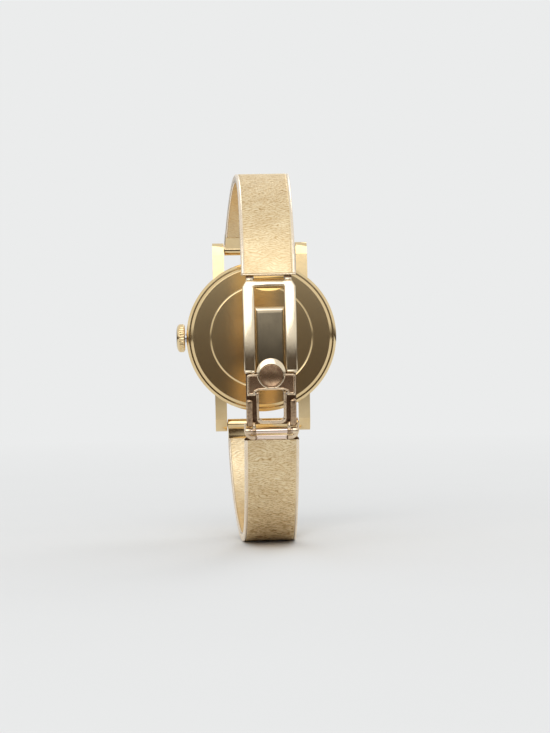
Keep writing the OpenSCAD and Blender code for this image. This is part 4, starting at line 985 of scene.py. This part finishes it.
def crown():
    r, length, flutes = 2.7, 1.6, 30
    n, start = flutes * 12, CASE_R + 0.3
    rows = [(0.45, 0.0, 0), (r - 0.35, 0.0, 0), (r - 0.15, 0.08, 0), (r - 0.03, 0.22, 0), (r, 0.3, 1),
            (r, length - 0.62, 1), (r - 0.02, length - 0.55, 0), (r - 0.12, length - 0.38, 0),
            (r - 0.35, length - 0.2, 0), (r - 0.7, length - 0.09, 0), (r - 1.1, length - 0.03, 0),
            (0.9, length, 0), (POINT, length, 0)]
    verts = []
    for radius, along, fluted in rows:
        for k in range(n):
            a = 2 * math.pi * k / n
            cut = radius - fluted * 0.11 * (0.5 - 0.5 * math.cos(a * flutes)) ** 1.5
            verts.append((start + along, cut * math.cos(a), STEM_H + cut * math.sin(a)))
    piece("crown_fluted", "crown", "crown", [(head_place(verts), tube_faces(len(rows), n))], case_gold)


bezel()
crystal()
case_back()
crown()


def head_slab(loops, z0, z1, bevel=0.03, turn=0.0, ridge=None, step=0.4):
    """Flat part of the dial side, between two heights, turned about the head's axis."""
    verts, faces = slab(loops, z1 - z0, bevel, 2, step)
    x, y, t = verts[:, 0], verts[:, 1], verts[:, 2]
    if ridge is not None:
        t = t + ridge(x, y) * (t > 0)
    c, s = math.cos(math.radians(turn)), math.sin(math.radians(turn))
    return head_place(np.stack([c * x - s * y, s * x + c * y, (z0 + z1) / 2 + t], 1)), faces


def dial():
    """Plate with a minute track of sixty ticks and a line round them."""
    low, top, outer = DIAL_TOP - 0.4, DIAL_TOP, BEZEL_HOLE_R - 0.35
    ink_low, ink_top = top - 0.01, top + 0.012
    plate = rounded([(1.0, low), (BORE_R - 0.1, low), (BORE_R - 0.1, top), (1.0, top)], 0.02, 2)
    parts = [lathe_head(plate)]
    for k in range(60):
        w, length = (0.06, 0.3) if k % 5 else (0.11, 0.42)
        tick = [(outer - length, -w / 2), (outer, -w / 2), (outer, w / 2), (outer - length, w / 2)]
        parts.append(head_slab([tick], ink_low, ink_top, 0.004, 6 * k, None, 3) + (ink,))
    line = [(outer, ink_low), (outer + 0.06, ink_low), (outer + 0.06, ink_top), (outer, ink_top)]
    parts.append(lathe_head(line) + (ink,))
    piece("dial_plate", "dial", "case", parts, dial_face)


def markers():
    parts = []
    end = BEZEL_HOLE_R - 0.7
    start = end - 2.4
    for k in range(12):
        half = 0.25 if k % 3 else 0.4

        def ridge(x, y, half=half):
            return -0.14 * np.clip(np.abs(y) / half, 0, 1)

        bar = rounded([(start, -half), (end, -half), (end, half), (start, half)], 0.06, 2)
        parts.append(head_slab([bar], DIAL_TOP, DIAL_TOP + 0.25, 0.03, 30 * k, ridge, 0.12))
    piece("hour_batons", "hour_markers", "case", parts, hand_gold)


def hand(name, node, body, length, w, boss, hole, z, turn):
    """Blade with two slopes, and a boss round its hole."""
    shoulder, widest, proud = w * 0.7, length * 0.4, 0.001
    outline = [(-w / 2, -1.8), (w / 2, -1.8), (shoulder, widest), (0, length), (-shoulder, widest)]

    def ridge(x, y):
        return -0.09 * np.clip(np.abs(x) / shoulder, 0, 1)

    blade = head_slab([outline], z, z + HAND_T, 0.02, turn, ridge, 0.14)
    ring = head_slab([circle(0, 0, boss, 48), circle(0, 0, hole, 36)], z - proud, z + HAND_T + proud,
                     0.03, turn, None, 0.3)
    piece(name, node, body, [blade, ring], hand_gold)


dial()
markers()
hand("hour_hand_blade", "hour_hand", "hour_tube", 7.2, 0.8, 1.15, 0.85, HOUR_HAND_H, 55)
hand("minute_hand_blade", "minute_hand", "minute_arbor", 10.8, 0.7, 0.9, 0.5, HOUR_HAND_H + 2 * HAND_T, -60)


# CAD nodes that stay, with better finishes


def dress(name, material, bevel=0.0):
    obj = nodes[name]
    if obj.hide_render:
        return
    if not obj.data.materials:
        obj.data.materials.append(material)
    for place in obj.material_slots:
        place.material = material
    weld = obj.modifiers.new("weld", "WELD")
    weld.merge_threshold = 1e-6
    if bevel:
        flat = obj.modifiers.new("flat", "DECIMATE")
        flat.decimate_type = "DISSOLVE"
        flat.angle_limit = math.radians(0.6)
        round_edges = obj.modifiers.new("edges", "BEVEL")
        round_edges.width = bevel * MM
        round_edges.segments = 3
        round_edges.limit_method = "ANGLE"
        round_edges.angle_limit = math.radians(32)
        round_edges.harden_normals = True


finishes = {
    "polished_gold": case_gold, "woven_gold": woven_gold, "hand_gold": hand_gold, "crystal": crystal_glass,
    "gasket": gasket, "dial": dial_face, "movement_plate": plate_metal, "wheel_brass": wheel_brass,
    "polished_steel": steel, "blued_steel": blued, "ruby": ruby,
}
eased_nodes = {"case_middle": 0.2, "upper_end_link": 0.15, "lower_end_link": 0.15, "spring_bars": 0.06}
for part in frame["record"]["subparts"]:
    dress(part["node"], finishes[part["material_slot"]], eased_nodes.get(part["node"], 0.0))


# Floor, world, lamps and camera, in metres

FLOOR_Z = (-LOOP_TOP - 0.02) * MM
BACKDROP = (235, 236, 236)
FLOOR_TONE = (229, 230, 230)
CARD_TONE = (78, 68, 58)
ROOM = 0.8
KEY = 6.5
BACK = 2.5


def pale_rays(tree):
    """1 for the rays that show the pale backdrop: camera, glossy and transmission."""
    rays = tree.nodes.new("ShaderNodeLightPath")
    total = rays.outputs["Is Camera Ray"]
    for name in ("Is Glossy Ray", "Is Transmission Ray"):
        both = tree.nodes.new("ShaderNodeMath")
        both.operation = "MAXIMUM"
        tree.links.new(total, both.inputs[0])
        tree.links.new(rays.outputs[name], both.inputs[1])
        total = both.outputs["Value"]
    return total


def stage_piece(name, verts, faces, material):
    mesh = bpy.data.meshes.new(name)
    mesh.from_pydata(verts, [], faces)
    mesh.materials.append(material)
    obj = placed(name, mesh)
    return obj


def matte(name, tone, lift, scale):
    """Plain paper with a very faint mottle."""
    f = Finish(name, 0.0, Roughness=1.0)
    f.shader.inputs["Specular IOR Level"].default_value = 0.0
    mottle = f.noise(f.scaled(scale, scale, scale), 1.0, 2.0)
    f.use(Base_Color=f.ramp(mottle, [(0.3, tone), (0.7, [v + lift for v in tone])]))
    return f


def floor():
    """Pale floor that turns into the backdrop with distance, and is clear from below."""
    rings, n = (0.02, 0.1, 0.3, 0.8, 2.0, 4.0), 96
    verts = [(0, 0, FLOOR_Z)] + [(x, y, FLOOR_Z) for r in rings for x, y in circle(0, 0, r, n)]
    faces = [(0, 1 + k, 1 + (k + 1) % n) for k in range(n)]
    faces += [tuple(1 + v for v in (a, d, c, b)) for a, b, c, d in tube_faces(len(rings), n)[:-2]]
    f = matte("floor", FLOOR_TONE, 1, 0.02)
    reach = f.remap(f.length(f.place), 0.0, 1.0, 0.12, 0.5)
    share = f.node("ShaderNodeMath", operation="MULTIPLY")
    f.link(reach, share.inputs[0])
    f.link(pale_rays(f.tree), share.inputs[1])
    glow, clear = f.node("ShaderNodeEmission"), f.node("ShaderNodeBsdfTransparent")
    glow.inputs["Color"].default_value = linear(*BACKDROP)
    top = f.mixed(share.outputs["Value"], f.shader.outputs["BSDF"], glow.outputs["Emission"])
    below = f.node("ShaderNodeNewGeometry").outputs["Backfacing"]
    f.show(f.mixed(below, top, clear.outputs["BSDF"]))
    stage_piece("floor", verts, faces, f.material)


floor()


def world():
    made = bpy.data.worlds.new("studio")
    bpy.context.scene.world = made
    made.use_nodes = True
    tree = made.node_tree
    tree.nodes.clear()
    out = tree.nodes.new("ShaderNodeOutputWorld")
    mix = tree.nodes.new("ShaderNodeMixShader")
    tree.links.new(pale_rays(tree), mix.inputs["Fac"])
    for place, colour in ((1, (ROOM, ROOM, ROOM, 1)), (2, linear(*BACKDROP))):
        background = tree.nodes.new("ShaderNodeBackground")
        background.inputs["Color"].default_value = colour
        tree.links.new(background.outputs["Background"], mix.inputs[place])
    tree.links.new(mix.outputs["Shader"], out.inputs["Surface"])


world()


def dark_card(name, verts, faces, where, clear_at, dark_at):
    """Dark studio card that only reflections show; where(finish) is the place along which it fades."""
    f = matte(name, CARD_TONE, 6, 0.006)
    dark = f.remap(where(f), 0.0, 1.0, clear_at, dark_at)
    clear = f.node("ShaderNodeBsdfTransparent")
    f.show(f.mixed(dark, clear.outputs["BSDF"], f.shader.outputs["BSDF"]))
    obj = stage_piece(name, verts, faces, f.material)
    obj.visible_camera = obj.visible_diffuse = obj.visible_transmission = obj.visible_shadow = False


def cards():
    """A wall that darkens downwards to the horizon, and a card on the floor in front of the clasp."""
    def height(f):
        parts = f.node("ShaderNodeSeparateXYZ")
        f.link(f.place, parts.inputs["Vector"])
        return parts.outputs["Z"]

    n, low = 72, FLOOR_Z + 0.002
    wall = [(x, y, z) for z in (low, 0.3) for x, y in circle(0, 0, 1.2, n)]
    dark_card("horizon_card", wall, tube_faces(2, n)[:-2], height, 0.21, 0.03)
    arcs, start, span = 36, math.radians(230), math.radians(80)
    rings = (0.045, 0.09, 0.2, 0.6, 1.2)
    sheet = [(d * math.cos(start + span * k / arcs), d * math.sin(start + span * k / arcs), low)
             for d in rings for k in range(arcs + 1)]
    w = arcs + 1
    faces = [(i * w + k, i * w + k + 1, (i + 1) * w + k + 1, (i + 1) * w + k)
             for i in range(len(rings) - 1) for k in range(arcs)]
    dark_card("front_card", sheet, faces, lambda f: f.length(f.place), 0.055, 0.13)


cards()


def lamp(name, azimuth, elevation, size, watts):
    """Round lamp that faces the watch; azimuth 0 is in front of the clasp, and grows to the right."""
    light = bpy.data.lights.new(name, "AREA")
    light.shape = "DISK"
    light.size = size
    light.energy = watts
    a, e, distance = math.radians(azimuth), math.radians(elevation), 1.5
    place = Vector((math.sin(a) * math.cos(e), -math.cos(a) * math.cos(e), math.sin(e))) * distance
    obj = placed(name, light)
    obj.location = place
    obj.rotation_euler = (-place).to_track_quat("-Z", "Y").to_euler()
    obj.visible_camera = False


lamp("key", -14, 38, 1.5, KEY)
lamp("back", 150, 42, 0.9, BACK)


def camera():
    azimuth, roll = math.radians(-2.158), math.radians(-1.16)
    distance, focal_px, height_px = 317.2, 1864.8, 733
    back = Vector((math.sin(azimuth), -math.cos(azimuth), 0))
    right, up = Vector((math.cos(azimuth), math.sin(azimuth), 0)), Vector((0, 0, 1))
    side = right * math.cos(roll) + up * math.sin(roll)
    top = up * math.cos(roll) - right * math.sin(roll)
    eye = (Vector((0.938, -20, -1.728)) + back * distance) * MM
    data = bpy.data.cameras.new("camera")
    data.sensor_width = 36
    data.lens = focal_px * data.sensor_width / height_px
    data.clip_start = 0.01
    data.clip_end = 20
    obj = placed("camera", data)
    obj.matrix_world = Matrix.Translation(eye) @ Matrix((side, top, back)).transposed().to_4x4()
    bpy.context.scene.camera = obj


camera()
bpy.context.scene.view_settings.view_transform = "Standard"
